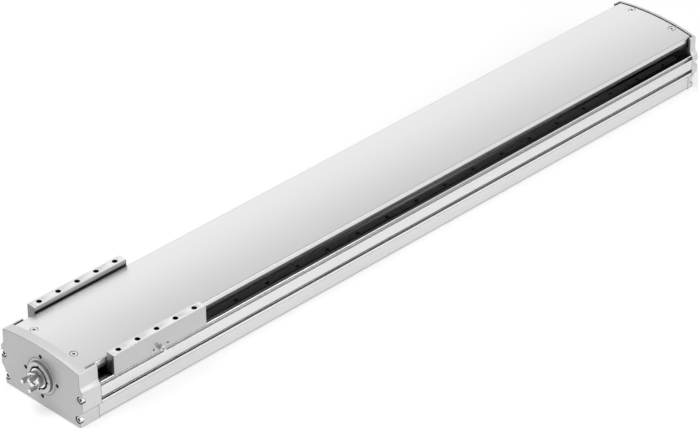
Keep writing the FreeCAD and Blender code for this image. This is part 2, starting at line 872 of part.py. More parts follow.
# Carriage plate: wings on the runner blocks and a housing for the ball nut between them
def carriage_plate():
    half = [
        ("half_housing - housing_chamfer", "housing_low"),
        ("half_housing", "housing_low + housing_chamfer"),
        ("half_housing", "plate_low"),
        ("half_wing", "plate_low"),
        ("half_wing", "plate_high"),
        ("half_housing", "plate_high"),
        ("half_housing", "housing_high"),
    ]
    body = new_body("carriage_plate")
    section = new_sketch(body, "YZ_Plane", "carriage_start")
    draw_outline(section, both_halves(half))
    draw_circle(section, "0", "axis_height", "nut_radius")
    pad(body, section, "carriage_length")
    corner = ("carriage_start", "-half_housing", "housing_low")
    flange_way = "axis_height + flange_flat + flange_room - housing_low"
    mill(body, corner, "flange_thickness", "2 * half_housing", flange_way)
    for across, up in diagonals:
        spot = ("nut_start", f"{across} * nut_screw_offset", f"axis_height + {up} * nut_screw_offset")
        drill(body, "nut_screw_radius + thread_clearance", "nut_screw_bite", spot, "+X")
    for along, across in block_screw_spots():
        spot = (along, across, "plate_high")
        drill(body, "block_head_radius + head_clearance", "block_head_height", spot, "-Z")
        drill(body, "block_screw_radius + head_clearance", "plate_thickness", spot, "-Z")
    for side in sides.values():
        for along, across in bar_screw_spots(side):
            spot = (along, across, "plate_high")
            drill(body, "bar_screw_radius + thread_clearance", "plate_thickness", spot, "-Z")


# Mounting bar: an upright with threaded holes on top and a foot that lies on the carriage plate
def mounting_bar(label, side):
    outline = [
        ("foot_inner", "plate_high"),
        ("bar_outer", "plate_high"),
        ("bar_outer", "bar_high - bar_round", "bar_round"),
        ("bar_outer - bar_round", "bar_high"),
        ("bar_inner + bar_round", "bar_high", "bar_round"),
        ("bar_inner", "bar_high - bar_round"),
        ("bar_inner", "foot_high"),
        ("foot_inner", "foot_high"),
    ]
    body = new_body(label)
    section = new_sketch(body, "YZ_Plane", "carriage_start")
    draw_outline(section, outline if side > 0 else mirrored(outline))
    pad(body, section, "carriage_length")
    for along, across in bar_screw_spots(side):
        spot = (along, across, "foot_high")
        drill(body, "bar_head_radius + head_clearance", "bar_head_height", spot, "-Z")
        drill(body, "bar_screw_radius + head_clearance", "foot_thickness", spot, "-Z")
    if side < 0:
        drill(
            body,
            "nipple_radius + thread_clearance",
            "nipple_thread_length",
            ("carriage_middle", "-bar_outer", "nipple_place"),
            "+Y",
        )
        for ahead in (1, -1):
            spot = (f"carriage_middle + {ahead} * port_spacing / 2", "-bar_outer", "plate_high + port_height")
            drill(body, "port_radius", "port_depth", spot, "+Y")
    hole_run = f"{bar_hole_count - 1} * bar_hole_pitch"
    first = (f"carriage_middle - {hole_run} / 2", signed("bar_middle", side), "bar_high")
    hole = drill(body, "bar_hole_radius", "bar_hole_depth", first, "-Z")
    repeat(body, hole, hole_run, bar_hole_count)


def bar_screws():
    length = "foot_thickness - bar_head_height + plate_thickness - bar_screw_spare"
    pieces = []
    for side in sides.values():
        for along, across in bar_screw_spots(side):
            seat = (along, across, "foot_high - bar_head_height")
            pieces.append(
                cap_screw(seat, "+Z", "bar_head_radius", "bar_head_height", "bar_screw_radius", length)
            )
    grouped("bar_screws", pieces)


def block_screws():
    length = "plate_thickness - block_head_height + block_screw_depth - seat_clearance"
    pieces = []
    for along, across in block_screw_spots():
        seat = (along, across, "plate_high - block_head_height")
        pieces.append(
            cap_screw(seat, "+Z", "block_head_radius", "block_head_height", "block_screw_radius", length)
        )
    grouped("block_screws", pieces)


def grease_nipple():
    neck_end = "bar_outer + nipple_base_length + nipple_neck_length"
    corners = [
        ("0", "nipple_thread_length - seat_clearance - bar_outer"),
        ("0", "-(bar_outer + nipple_length)"),
        ("nipple_nose_radius", "-(bar_outer + nipple_length)"),
        ("nipple_tip_radius", f"-({neck_end} + nipple_nose_radius)"),
        ("nipple_neck_radius", f"-({neck_end})"),
        ("nipple_neck_radius", "-(bar_outer + nipple_base_length)"),
        ("nipple_base_radius", "-(bar_outer + nipple_base_length)"),
        ("nipple_base_radius", "-bar_outer"),
        ("nipple_radius", "-bar_outer"),
        ("nipple_radius", "nipple_thread_length - seat_clearance - bar_outer"),
    ]
    body = new_body("grease_nipple")
    sketch = new_sketch(body, "XY_Plane", "nipple_place", shift="carriage_middle")
    draw_outline(sketch, corners)
    revolve(body, sketch, "V_Axis")


# Ball nut with a flange that has two flats
def ball_nut():
    fit = "nut_radius - seat_clearance"
    body = turned(
        "ball_nut",
        [
            ("carriage_start", "wiper_radius"),
            ("carriage_start", "flange_radius"),
            ("nut_start", "flange_radius"),
            ("nut_start", fit),
            ("nut_end", fit),
            ("nut_end", "wiper_radius"),
            ("nut_end - wiper_width", "wiper_radius"),
            ("nut_end - wiper_width", "nut_bore"),
            ("carriage_start + wiper_width", "nut_bore"),
            ("carriage_start + wiper_width", "wiper_radius"),
        ],
    )
    for low in ("axis_height + flange_flat", "axis_height - flange_radius"):
        corner = ("carriage_start", "-flange_radius", low)
        mill(body, corner, "flange_thickness", "2 * flange_radius", "flange_radius - flange_flat")
    for across, up in diagonals:
        spot = ("carriage_start", f"{across} * nut_screw_offset", f"axis_height + {up} * nut_screw_offset")
        drill(body, "nut_screw_radius + head_clearance", "flange_thickness", spot, "+X")


def nut_wiper(label, start):
    inside = "screw_radius + wiper_gap"
    outside = "wiper_radius - seat_clearance"
    end = f"{start} + wiper_width"
    turned(label, [(start, inside), (start, outside), (end, outside), (end, inside)])


def nut_screws():
    length = "flange_thickness + nut_screw_bite - seat_clearance"
    pieces = []
    for across, up in diagonals:
        seat = ("carriage_start", f"{across} * nut_screw_offset", f"axis_height + {up} * nut_screw_offset")
        pieces.append(
            cap_screw(seat, "-X", "nut_head_radius", "nut_head_height", "nut_screw_radius", length)
        )
    grouped("nut_screws", pieces)


# Screw with its drive stub, its two journals and a groove for the circlip
def screw_shaft():
    groove = "float_journal_radius - circlip_groove"
    turned(
        "screw_shaft",
        [
            ("shaft_start", "0"),
            ("shaft_start", "stub_radius - stub_chamfer"),
            ("shaft_start + stub_chamfer", "stub_radius"),
            ("lock_front", "stub_radius"),
            ("lock_front", "fixed_journal_radius"),
            ("bearing_rear", "fixed_journal_radius"),
            ("bearing_rear", "screw_radius"),
            ("float_start", "screw_radius"),
            ("float_start", "float_journal_radius"),
            ("float_end", "float_journal_radius"),
            ("float_end", groove),
            ("float_end + circlip_thickness", groove),
            ("float_end + circlip_thickness", "float_journal_radius"),
            ("shaft_end", "float_journal_radius"),
            ("shaft_end", "0"),
        ],
    )


def lock_nut():
    bore = "fixed_journal_radius + thread_clearance"
    nose = "fixed_journal_radius + inner_ring_wall - shield_gap"
    turned(
        "lock_nut",
        [
            ("lock_front", bore),
            ("lock_front", "lock_nut_radius"),
            ("bearing_front - lock_nut_nose", "lock_nut_radius"),
            ("bearing_front - lock_nut_nose", nose),
            ("bearing_front", nose),
            ("bearing_front", bore),
        ],
    )


# Shielded ball bearing: an inner ring, and an outer ring with a thin shield on each face
def bearing(label, start, kind):
    end = f"{start} + {kind}_bearing_width"
    radius = f"{kind}_bearing_radius"
    bore = f"{kind}_journal_radius + seat_clearance"
    land = f"{kind}_journal_radius + inner_ring_wall"
    shield = f"{land} + shield_gap"
    race = f"{radius} - outer_ring_wall"
    turned(f"{label}_inner_ring", [(start, bore), (start, land), (end, land), (end, bore)])
    turned(
        f"{label}_outer_ring",
        [
            (start, shield),
            (start, radius),
            (end, radius),
            (end, shield),
            (f"{end} - shield_thickness", shield),
            (f"{end} - shield_thickness", race),
            (f"{start} + shield_thickness", race),
            (f"{start} + shield_thickness", shield),
        ],
    )


def circlip():
    inside = "float_journal_radius - circlip_groove + circlip_play"
    outside = f"{inside} + circlip_height"
    start = "float_end + circlip_play"
    end = "float_end + circlip_thickness - circlip_play"
    turned("shaft_circlip", [(start, inside), (start, outside), (end, outside), (end, inside)])


# Spanner ring that clamps the fixed bearings: a flange let into the cap, and a raised ring for the motor
def pilot_collar():
    front = "front_face - collar_rise"
    corners = [
        (front, "collar_bore"),
        (front, "collar_radius - collar_round", "-collar_round"),
        (f"{front} + collar_round", "collar_radius"),
        ("front_face", "collar_radius"),
        ("front_face", "collar_flange_radius"),
        ("front_face + collar_flange_depth", "collar_flange_radius"),
        ("front_face + collar_flange_depth", "fixed_bearing_radius"),
        ("bearing_front", "fixed_bearing_radius"),
        ("bearing_front", "collar_bore"),
    ]
    body = new_body("pilot_collar")
    sketch = new_sketch(body, "XZ_Plane")
    draw_outline(sketch, corners)
    revolve(body, sketch, "H_Axis")
    corner = (front, "-collar_notch_width / 2", "collar_bore - collar_notch_depth")
    notch = mill(body, corner, "collar_rise", "collar_notch_width", "2 * collar_notch_depth")
    repeat_around(body, notch, len(quarter_turns))
    place(body, ("0", "0", "axis_height"))


def shaft_seal():
    inside = "lock_nut_radius + seal_gap"
    outside = "collar_bore - seat_clearance"
    end = "bearing_front - seal_setback"
    start = f"{end} - seal_width"
    turned("shaft_seal", [(start, inside), (start, outside), (end, outside), (end, inside)])


# Claw hub of the motor coupling
def coupling_hub():
    claws = 3
    bore = "stub_radius + seat_clearance"
    claw_edge = "sqrt(hub_radius ^ 2 - jaw_width ^ 2 / 4)"
    body = new_body("coupling_hub")
    section = new_sketch(body, "YZ_Plane", "hub_front")
    draw_circle(section, "0", "0", "hub_radius")
    draw_circle(section, "0", "0", bore)
    pad(body, section, "hub_length")
    hub_middle = "hub_front + hub_length / 2"
    drill(body, "set_screw_radius + thread_clearance", "hub_radius", (hub_middle, "0", "0"), "-Z")
    outline = new_sketch(body, "YZ_Plane", "hub_front")
    draw_outline(
        outline,
        [
            ("jaw_inner_radius", "-jaw_width / 2"),
            (claw_edge, "-jaw_width / 2", "hub_radius"),
            (claw_edge, "jaw_width / 2"),
            ("jaw_inner_radius", "jaw_width / 2"),
        ],
    )
    claw = pad(body, outline, "jaw_length", back=True)
    repeat_around(body, claw, claws)
    place(body, ("0", "0", "axis_height"))
    seat = (hub_middle, "0", "axis_height - stub_radius - thread_clearance")
    length = "hub_radius - stub_radius - 2 * head_clearance"
    node("hub_set_screw", cylinder("set_screw_radius", length, seat, "-Z"))


def buffers(label, seat, length, outward):
    pieces = []
    for side in sides.values():
        spot = (seat, signed("buffer_spacing / 2", side), "buffer_height")
        pad_piece = cylinder("buffer_radius", length, spot, outward)
        stud = cylinder("buffer_stud_radius", "buffer_stud_length", spot, opposite[outward])
        pieces.append(fused([pad_piece, stud]))
    grouped(label, pieces)


base_profile()
drive_cap()
end_cap()
cover()
cover_screws()
cap_screws("drive_cap_screws", "front_face", "drive_cap_length", "-X")
cap_screws("end_cap_screws", "end_face", "end_cap_thickness", "+X")
for side_name, side_sign in sides.items():
    guide_rail(f"guide_rail_{side_name}", side_sign)
    rail_screws(f"rail_screws_{side_name}", side_sign)
    mounting_bar(f"mounting_bar_{side_name}", side_sign)
    for row_name in block_middles:
        runner_block(row_name, side_name)
carriage_plate()
bar_screws()
block_screws()
grease_nipple()
ball_nut()
nut_wiper("nut_wiper_front", "carriage_start")
nut_wiper("nut_wiper_rear", "nut_end - wiper_width")
nut_screws()
screw_shaft()
lock_nut()
bearing("fixed_bearing_front", "bearing_front", "fixed")
bearing("fixed_bearing_rear", "bearing_front + fixed_bearing_width", "fixed")
bearing("floating_bearing", "float_start", "float")
circlip()
pilot_collar()
shaft_seal()
coupling_hub()
buffers("drive_end_buffers", "base_start", "drive_buffer_length", "+X")
buffers("far_end_buffers", "base_end - boss_length", "end_buffer_length", "-X")
doc.recompute()

failed = [thing.Label for thing in doc.Objects if "Invalid" in thing.State or "Error" in thing.State]
if failed:
    raise RuntimeError(f"failed objects: {failed}")
for thing in nodes:
    if thing.Shape.isNull() or not thing.Shape.isValid():
        raise RuntimeError(f"bad shape: {thing.Label}")
os.makedirs("parts", exist_ok=True)
for thing in nodes:
    thing.Shape.exportStep(f"parts/{thing.Label}.step")
    print(thing.Label, len(thing.Shape.Solids), "solids", round(thing.Shape.Volume), "mm3")
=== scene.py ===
import json
import math
import bmesh
import bpy
from mathutils import Matrix, Vector

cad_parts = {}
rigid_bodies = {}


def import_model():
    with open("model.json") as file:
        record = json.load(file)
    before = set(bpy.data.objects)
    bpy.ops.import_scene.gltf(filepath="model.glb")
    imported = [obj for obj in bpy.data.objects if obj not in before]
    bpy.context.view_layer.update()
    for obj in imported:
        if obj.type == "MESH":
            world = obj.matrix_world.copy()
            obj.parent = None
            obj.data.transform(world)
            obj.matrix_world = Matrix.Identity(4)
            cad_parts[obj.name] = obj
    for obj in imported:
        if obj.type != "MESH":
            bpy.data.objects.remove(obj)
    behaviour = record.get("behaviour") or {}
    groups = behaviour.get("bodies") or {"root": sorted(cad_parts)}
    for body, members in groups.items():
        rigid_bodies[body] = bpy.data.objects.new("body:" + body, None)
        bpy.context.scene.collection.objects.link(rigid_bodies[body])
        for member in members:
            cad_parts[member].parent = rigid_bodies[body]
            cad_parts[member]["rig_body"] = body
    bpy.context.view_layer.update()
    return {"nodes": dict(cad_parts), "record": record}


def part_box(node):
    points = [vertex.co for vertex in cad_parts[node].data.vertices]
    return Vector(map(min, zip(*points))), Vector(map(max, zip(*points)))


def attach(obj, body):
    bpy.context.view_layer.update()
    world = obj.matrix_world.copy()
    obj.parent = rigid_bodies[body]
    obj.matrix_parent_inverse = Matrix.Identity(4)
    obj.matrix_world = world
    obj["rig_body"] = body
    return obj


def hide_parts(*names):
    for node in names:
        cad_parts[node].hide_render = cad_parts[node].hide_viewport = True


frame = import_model()
scene = bpy.context.scene
record = frame["record"]
mm = 0.001
quarterTurn = math.pi / 2.0
plainWhite = (1.0, 1.0, 1.0, 1.0)
slotOfNode = {row["node"]: row["material_slot"] for row in record["subparts"]}
mountOf = {mount["name"]: mount for mount in record["mounts"]}
jointOf = {joint["name"]: joint for joint in record["behaviour"]["joints"]}
screwLevel = jointOf["screw_turn"]["pos_m"][2]
print("frame loaded:", len(frame["nodes"]), "nodes")


# node trees

def put(tree, kind, wires=None, **settings):
    node = tree.nodes.new(kind)
    for name, value in settings.items():
        setattr(node, name, value)
    for name, value in (wires or {}).items():
        if isinstance(value, bpy.types.NodeSocket):
            tree.links.new(value, node.inputs[name])
        else:
            node.inputs[name].default_value = value
    return node


def calc(tree, operation, first, second=0.0):
    return put(tree, "ShaderNodeMath", {0: first, 1: second}, operation=operation).outputs[0]


def ramp(tree, value, start, end, first=0.0, last=1.0):
    span = {"Value": value, "From Min": start, "From Max": end, "To Min": first, "To Max": last}
    return put(tree, "ShaderNodeMapRange", span).outputs[0]


def newTree(name, kind, inputs, outputs):
    tree = bpy.data.node_groups.new(name, kind)
    for socketName, socketType, value in inputs:
        socket = tree.interface.new_socket(socketName, in_out="INPUT", socket_type=socketType)
        if value is not None:
            socket.default_value = value
    for socketName, socketType in outputs:
        tree.interface.new_socket(socketName, in_out="OUTPUT", socket_type=socketType)
    entry = tree.nodes.new("NodeGroupInput")
    leave = tree.nodes.new("NodeGroupOutput")
    return tree, entry.outputs, leave.inputs


# shader groups that the finishes share

def makeStreaks():  # fine lines along X that drawing and grinding leave
    tree, given, result = newTree(
        "drawnStreaks", "ShaderNodeTree",
        [("Across", "NodeSocketFloat", 900.0), ("Along", "NodeSocketFloat", 1.5)],
        [("Streak", "NodeSocketFloat")],
    )
    place = put(tree, "ShaderNodeTexCoord").outputs["Object"]
    stretch = put(tree, "ShaderNodeCombineXYZ", {0: given["Along"], 1: given["Across"], 2: given["Across"]})
    spot = put(tree, "ShaderNodeVectorMath", {0: place, 1: stretch.outputs[0]}, operation="MULTIPLY")
    noise = put(tree, "ShaderNodeTexNoise", {"Vector": spot.outputs[0], "Scale": 1.0, "Detail": 3.0})
    tree.links.new(noise.outputs["Fac"], result["Streak"])
    return tree


def makeSpeckle():  # fine even grain of a blasted or moulded skin
    tree, given, result = newTree(
        "blastSpeckle", "ShaderNodeTree",
        [("Grain", "NodeSocketFloat", 1800.0)],
        [("Speckle", "NodeSocketFloat")],
    )
    place = put(tree, "ShaderNodeTexCoord").outputs["Object"]
    noise = put(tree, "ShaderNodeTexNoise", {"Vector": place, "Scale": given["Grain"], "Detail": 2.0})
    tree.links.new(noise.outputs["Fac"], result["Speckle"])
    return tree


def makeClouding():  # slow change of tone and gloss over a large face
    tree, given, result = newTree(
        "slowClouding", "ShaderNodeTree",
        [("Size", "NodeSocketFloat", 9.0)],
        [("Cloud", "NodeSocketFloat")],
    )
    place = put(tree, "ShaderNodeTexCoord").outputs["Object"]
    noise = put(tree, "ShaderNodeTexNoise", {"Vector": place, "Scale": given["Size"], "Detail": 4.0})
    tree.links.new(noise.outputs["Fac"], result["Cloud"])
    return tree


def makeRings():  # turning marks about the screw's axis
    tree, given, result = newTree(
        "turningRings", "ShaderNodeTree",
        [("Rings", "NodeSocketFloat", 2500.0), ("Level", "NodeSocketFloat", screwLevel)],
        [("Ring", "NodeSocketFloat")],
    )
    place = put(tree, "ShaderNodeTexCoord").outputs["Object"]
    parts = put(tree, "ShaderNodeSeparateXYZ", {0: place}).outputs
    rise = calc(tree, "SUBTRACT", parts["Z"], given["Level"])
    squares = calc(tree, "ADD", calc(tree, "POWER", parts["Y"], 2.0), calc(tree, "POWER", rise, 2.0))
    reach = calc(tree, "SQRT", squares)
    step = calc(tree, "MULTIPLY", calc(tree, "ADD", reach, parts["X"]), given["Rings"])
    noise = put(tree, "ShaderNodeTexNoise", {"W": step, "Scale": 1.0, "Detail": 2.0}, noise_dimensions="1D")
    tree.links.new(noise.outputs["Fac"], result["Ring"])
    return tree


# how far a face leans, from 0 to 1, where each mask of edges starts and where it is full
leanLook = {"slanted": (0.15, 0.3), "square": (0.92, 0.98), "arris": (0.25, 0.45)}


# masks by which way a face looks, used for painted light and shade: faces lighter or darker by facing, a
# painted highlight on the long edges that look up and painted dark lines on the edges round the ends
def makeFaceLightMasks():  # masks of tops, ends, sides, the edges round the ends and the long edges that look up
    tree, given, result = newTree(
        "cutFaces", "ShaderNodeTree",
        [("From", "NodeSocketFloat", 0.8), ("To", "NodeSocketFloat", 0.95)],
        [("Top", "NodeSocketFloat"), ("End", "NodeSocketFloat"), ("Side", "NodeSocketFloat"),
         ("Edge", "NodeSocketFloat"), ("Arris", "NodeSocketFloat")],
    )
    facing = put(tree, "ShaderNodeNewGeometry").outputs["Normal"]
    parts = put(tree, "ShaderNodeSeparateXYZ", {0: facing}).outputs
    along = calc(tree, "ABSOLUTE", parts["X"])
    aside = calc(tree, "ABSOLUTE", parts["Y"])
    for lean, name in ((parts["Z"], "Top"), (along, "End"), (aside, "Side")):
        tree.links.new(ramp(tree, lean, given["From"], given["To"]), result[name])
    slanted = ramp(tree, along, *leanLook["slanted"])
    square = ramp(tree, along, *leanLook["square"])
    tree.links.new(calc(tree, "SUBTRACT", slanted, square), result["Edge"])
    upward = calc(tree, "MULTIPLY", aside, parts["Z"])
    tree.links.new(ramp(tree, upward, *leanLook["arris"]), result["Arris"])
    return tree


def makeBoreShade():  # mask of what lies within a hole's radius, in the plane across its axis
    tree, given, result = newTree(
        "boreShade", "ShaderNodeTree",
        [("Across", "NodeSocketFloat", 0.0), ("Up", "NodeSocketFloat", 0.0),
         ("Hole Across", "NodeSocketFloat", 0.0), ("Hole Up", "NodeSocketFloat", 0.0),
         ("Radius", "NodeSocketFloat", 0.003)],
        [("Inside", "NodeSocketFloat")],
    )
    here = put(tree, "ShaderNodeCombineXYZ", {0: given["Across"], 1: given["Up"]}).outputs[0]
    hole = put(tree, "ShaderNodeCombineXYZ", {0: given["Hole Across"], 1: given["Hole Up"]}).outputs[0]
    away = put(tree, "ShaderNodeVectorMath", {0: here, 1: hole}, operation="DISTANCE").outputs["Value"]
    tree.links.new(calc(tree, "LESS_THAN", away, given["Radius"]), result["Inside"])
    return tree


def makeBandShade():  # mask of what lies within a reach of the middle, between two heights
    tree, given, result = newTree(
        "bandShade", "ShaderNodeTree",
        [("Across", "NodeSocketFloat", 0.0), ("Up", "NodeSocketFloat", 0.0),
         ("Within", "NodeSocketFloat", 0.08), ("Low", "NodeSocketFloat", 0.03),
         ("High", "NodeSocketFloat", 0.04), ("Share", "NodeSocketFloat", 0.5)],
        [("Inside", "NodeSocketFloat")],
    )
    inside = calc(tree, "LESS_THAN", given["Across"], given["Within"])
    above = calc(tree, "GREATER_THAN", given["Up"], given["Low"])
    below = calc(tree, "LESS_THAN", given["Up"], given["High"])
    inside = calc(tree, "MULTIPLY", calc(tree, "MULTIPLY", inside, above), below)
    tree.links.new(calc(tree, "MULTIPLY", inside, given["Share"]), result["Inside"])
    return tree


streaks = makeStreaks()
speckle = makeSpeckle()
clouding = makeClouding()
rings = makeRings()
cutFaces = makeFaceLightMasks()
boreShade = makeBoreShade()
bandShade = makeBandShade()


def placeParts(tree):
    return put(tree, "ShaderNodeSeparateXYZ", {0: put(tree, "ShaderNodeTexCoord").outputs["Object"]}).outputs


# the darkest of several like masks, each with its own sizes
def darkest(tree, group, across, up, socketNames, rows):
    dark = 0.0
    for row in rows:
        mask = put(tree, "ShaderNodeGroup", node_tree=group)
        tree.links.new(across, mask.inputs["Across"])
        tree.links.new(up, mask.inputs["Up"])
        for socketName, value in zip(socketNames, row):
            mask.inputs[socketName].default_value = value
        dark = calc(tree, "MAXIMUM", dark, mask.outputs[0])
    return dark


def shadedBores(tree, across, up, holes):
    rows = [tuple(size * mm for size in hole) for hole in holes]
    return darkest(tree, boreShade, across, up, ("Hole Across", "Hole Up", "Radius"), rows)


def shadedBands(tree, across, up, bands):
    rows = [(within * mm, low * mm, high * mm, share) for within, low, high, share in bands]
    return darkest(tree, bandShade, across, up, ("Within", "Low", "High", "Share"), rows)


# painted shade on the caps: darker screw rooms and motor holes, dark lines on the edges round the ends,
# the slope above the foot and the recess for the cover darkened; a dark joint line with the base, which also
# puts painted shade on the caps' inner faces; in millimetres, and how dark comes last
capShadeLook = {
    "holes": [(79.2, 47.65, 5.8), (73.8, 12.5, 5.8), (32.5, 48.4, 3.05), (0.0, 80.9, 3.05),
              (0.0, 15.9, 3.05)],  # across, up and radius
    "floors": (-634.9, 612.9),  # where the holes end along X
    "edges": (-640.0, 618.0, 0.5),  # beyond these places along X
    "slope": (77.0, 22.3, 29.2, 0.52),  # inner side, low and high
    "recess": (-624.4, 614.9, 75.1),  # both ends along X and half its width
    "joint": (606.9, 0.85),  # reach from the middle
}


def capShade(tree):
    look = capShadeLook
    parts = placeParts(tree)
    across = calc(tree, "ABSOLUTE", parts["Y"])

    def beyond(front, rear):
        before = calc(tree, "LESS_THAN", parts["X"], front * mm)
        return calc(tree, "ADD", before, calc(tree, "GREATER_THAN", parts["X"], rear * mm))

    # painted shade in the screw rooms and motor holes
    holes = shadedBores(tree, across, parts["Z"], look["holes"])
    holes = calc(tree, "MULTIPLY", holes, beyond(*look["floors"]))
    # painted shade: dark lines on the edges round the caps' outer ends
    front, rear, share = look["edges"]
    edgeShade = calc(tree, "MULTIPLY", put(tree, "ShaderNodeGroup", node_tree=cutFaces).outputs["Edge"], share)
    ends = beyond(front, rear)
    dark = calc(tree, "MAXIMUM", holes, calc(tree, "MULTIPLY", edgeShade, ends))
    # painted shade on the slope above the foot, which looks down
    inner, low, high, share = look["slope"]
    offset = calc(tree, "ABSOLUTE", calc(tree, "SUBTRACT", parts["Z"], (low + high) / 2.0 * mm))
    slope = calc(tree, "LESS_THAN", offset, (high - low) / 2.0 * mm)
    slope = calc(tree, "MULTIPLY", slope, calc(tree, "GREATER_THAN", across, inner * mm))
    slope = calc(tree, "MULTIPLY", calc(tree, "SUBTRACT", slope, ends), share)
    dark = calc(tree, "MAXIMUM", dark, slope)
    # painted shade in the recess for the cover
    start, end, half = (size * mm for size in look["recess"])
    within = calc(tree, "GREATER_THAN", parts["X"], start)
    within = calc(tree, "MULTIPLY", within, calc(tree, "LESS_THAN", parts["X"], end))
    within = calc(tree, "MULTIPLY", within, calc(tree, "LESS_THAN", across, half))
    # a dark joint line next to the base, which also puts painted shade on the caps' inner faces
    reach, share = look["joint"]
    joint = calc(tree, "LESS_THAN", calc(tree, "ABSOLUTE", parts["X"]), reach * mm)
    return calc(tree, "MAXIMUM", calc(tree, "MAXIMUM", dark, within), calc(tree, "MULTIPLY", joint, share))


# painted shade on the mounting bars: their threaded holes, which repeat along X, their feet beside the
# cover, which are the inner faces and grow darker towards the bottom, and the holes in the right bar's side
barShadeLook = {
    "first": -501.0, "pitch": 35.0, "across": 81.8, "radius": 4.05,
    "feet": [(74.5, 50.0, 92.7, 1.0), (74.5, 92.7, 94.5, 0.32), (74.5, 94.5, 96.5, 0.2),
             (74.5, 96.5, 98.5, 0.1)],
    "sideHoles": [(-514.0, 73.4, 1.6), (-488.0, 73.4, 1.6)],
}


def barShade(tree):
    look = barShadeLook
    parts = placeParts(tree)
    offset = calc(tree, "SUBTRACT", parts["X"], look["first"] * mm)
    along = calc(tree, "PINGPONG", offset, look["pitch"] * mm / 2.0)
    across = calc(tree, "ABSOLUTE", parts["Y"])
    holes = shadedBores(tree, along, across, [(0.0, look["across"], look["radius"])])
    right = calc(tree, "LESS_THAN", parts["Y"], 0.0)
    sides = calc(tree, "MULTIPLY", shadedBores(tree, parts["X"], parts["Z"], look["sideHoles"]), right)
    dark = calc(tree, "MAXIMUM", holes, sides)
    return calc(tree, "MAXIMUM", dark, shadedBands(tree, across, parts["Z"], look["feet"]))


# painted shade on the base: its feet, its side slots, its grooves, the tops of its lips and the
# channel inside; reach from the middle, low, high and how dark
profileShadeLook = [(84.5, -1.0, 4.2, 0.26), (83.6, 33.0, 39.0, 0.79), (83.6, 55.9, 62.6, 0.12),
                    (83.3, 63.5, 65.0, 0.87), (48.0, 12.0, 63.0, 0.5)]


def profileShade(tree):
    parts = placeParts(tree)
    return shadedBands(tree, calc(tree, "ABSOLUTE", parts["Y"]), parts["Z"], profileShadeLook)


# painted shade on the cover: rings round its screws, a fine line beside each rolled edge, the edges that
# lie in the caps' recesses and the far end
coverShadeLook = {"rings": [(-615.7, 41.0, 6.15), (605.2, 41.0, 6.15)], "ringShare": 0.5, "top": 97.0,
                  "lines": [(12.0, 70.7, 71.7, 0.3)], "recessed": (606.0, 71.8, 0.6), "end": (612.9, 0.8)}


def coverShade(tree):
    look = coverShadeLook
    parts = placeParts(tree)
    across = calc(tree, "ABSOLUTE", parts["Y"])
    depth = calc(tree, "SUBTRACT", look["top"] * mm, parts["Z"])
    dark = calc(tree, "MULTIPLY", shadedBores(tree, parts["X"], across, look["rings"]), look["ringShare"])
    dark = calc(tree, "MAXIMUM", dark, shadedBands(tree, depth, across, look["lines"]))
    start, half, share = look["recessed"]
    sunk = calc(tree, "GREATER_THAN", calc(tree, "ABSOLUTE", parts["X"]), start * mm)
    sunk = calc(tree, "MULTIPLY", sunk, calc(tree, "GREATER_THAN", across, half * mm))
    dark = calc(tree, "MAXIMUM", dark, calc(tree, "MULTIPLY", sunk, share))
    start, share = look["end"]
    end = calc(tree, "MULTIPLY", calc(tree, "GREATER_THAN", parts["X"], start * mm), share)
    return calc(tree, "MAXIMUM", dark, end)


# painted shade in the sockets of the screws of the cover and of the caps
socketShadeLook = {
    "cover": [(-615.7, 41.0, 2.2), (605.2, 41.0, 2.2)],
    "caps": [(79.2, 47.65, 2.8), (73.8, 12.5, 2.8)],
}


def socketShade(tree):
    parts = placeParts(tree)
    across = calc(tree, "ABSOLUTE", parts["Y"])
    cover = shadedBores(tree, parts["X"], across, socketShadeLook["cover"])
    return calc(tree, "MAXIMUM", cover, shadedBores(tree, across, parts["Z"], socketShadeLook["caps"]))


# the pattern's part beside the clouding, and the range of the two together
finishLook = {"patternShare": 0.5, "spread": (0.3, 0.7)}


# a finish: two tones, a roughness range and a bump from its pattern, with slow clouding over all, and with
# painted light and shade: faces made lighter or darker by which way they face, and painted shade in places
def makeFinish(name, look):
    material = bpy.data.materials.new(name)
    material.use_nodes = True
    tree = material.node_tree
    shader = tree.nodes["Principled BSDF"]
    shader.inputs["Metallic"].default_value = look["metallic"]
    pattern = put(tree, "ShaderNodeGroup", node_tree=look["pattern"])
    for socketName, value in look.get("patternSizes", {}).items():
        pattern.inputs[socketName].default_value = value
    cloud = put(tree, "ShaderNodeGroup", node_tree=clouding)
    share = finishLook["patternShare"]
    both = calc(tree, "ADD", calc(tree, "MULTIPLY", pattern.outputs[0], share),
                calc(tree, "MULTIPLY", cloud.outputs[0], 1.0 - share))
    tones = put(tree, "ShaderNodeMix", {0: both, 6: (*look["dark"], 1.0), 7: (*look["light"], 1.0)},
                data_type="RGBA")
    rough = ramp(tree, both, *finishLook["spread"], *look["rough"])
    bump = put(tree, "ShaderNodeBump",
               {"Height": pattern.outputs[0], "Strength": look["bump"], "Distance": look["depth"]})
    # painted light and shade that scale the base colour
    paintedLight = 1.0
    if "paintedFaceLight" in look:
        mask = put(tree, "ShaderNodeGroup", node_tree=cutFaces)
        for face, change in look["paintedFaceLight"].items():
            paintedLight = calc(tree, "ADD", paintedLight, calc(tree, "MULTIPLY", mask.outputs[face], change))
    if "shade" in look:
        lit = calc(tree, "SUBTRACT", 1.0, calc(tree, "MULTIPLY", look["shade"](tree), look["shadeDepth"]))
        paintedLight = calc(tree, "MULTIPLY", paintedLight, lit)
    tone = put(tree, "ShaderNodeVectorMath", {0: tones.outputs[2], "Scale": paintedLight}, operation="SCALE")
    tree.links.new(tone.outputs[0], shader.inputs["Base Color"])
    tree.links.new(rough, shader.inputs["Roughness"])
    tree.links.new(bump.outputs[0], shader.inputs["Normal"])
    return material


def grey(level):
    return (level, level, level)


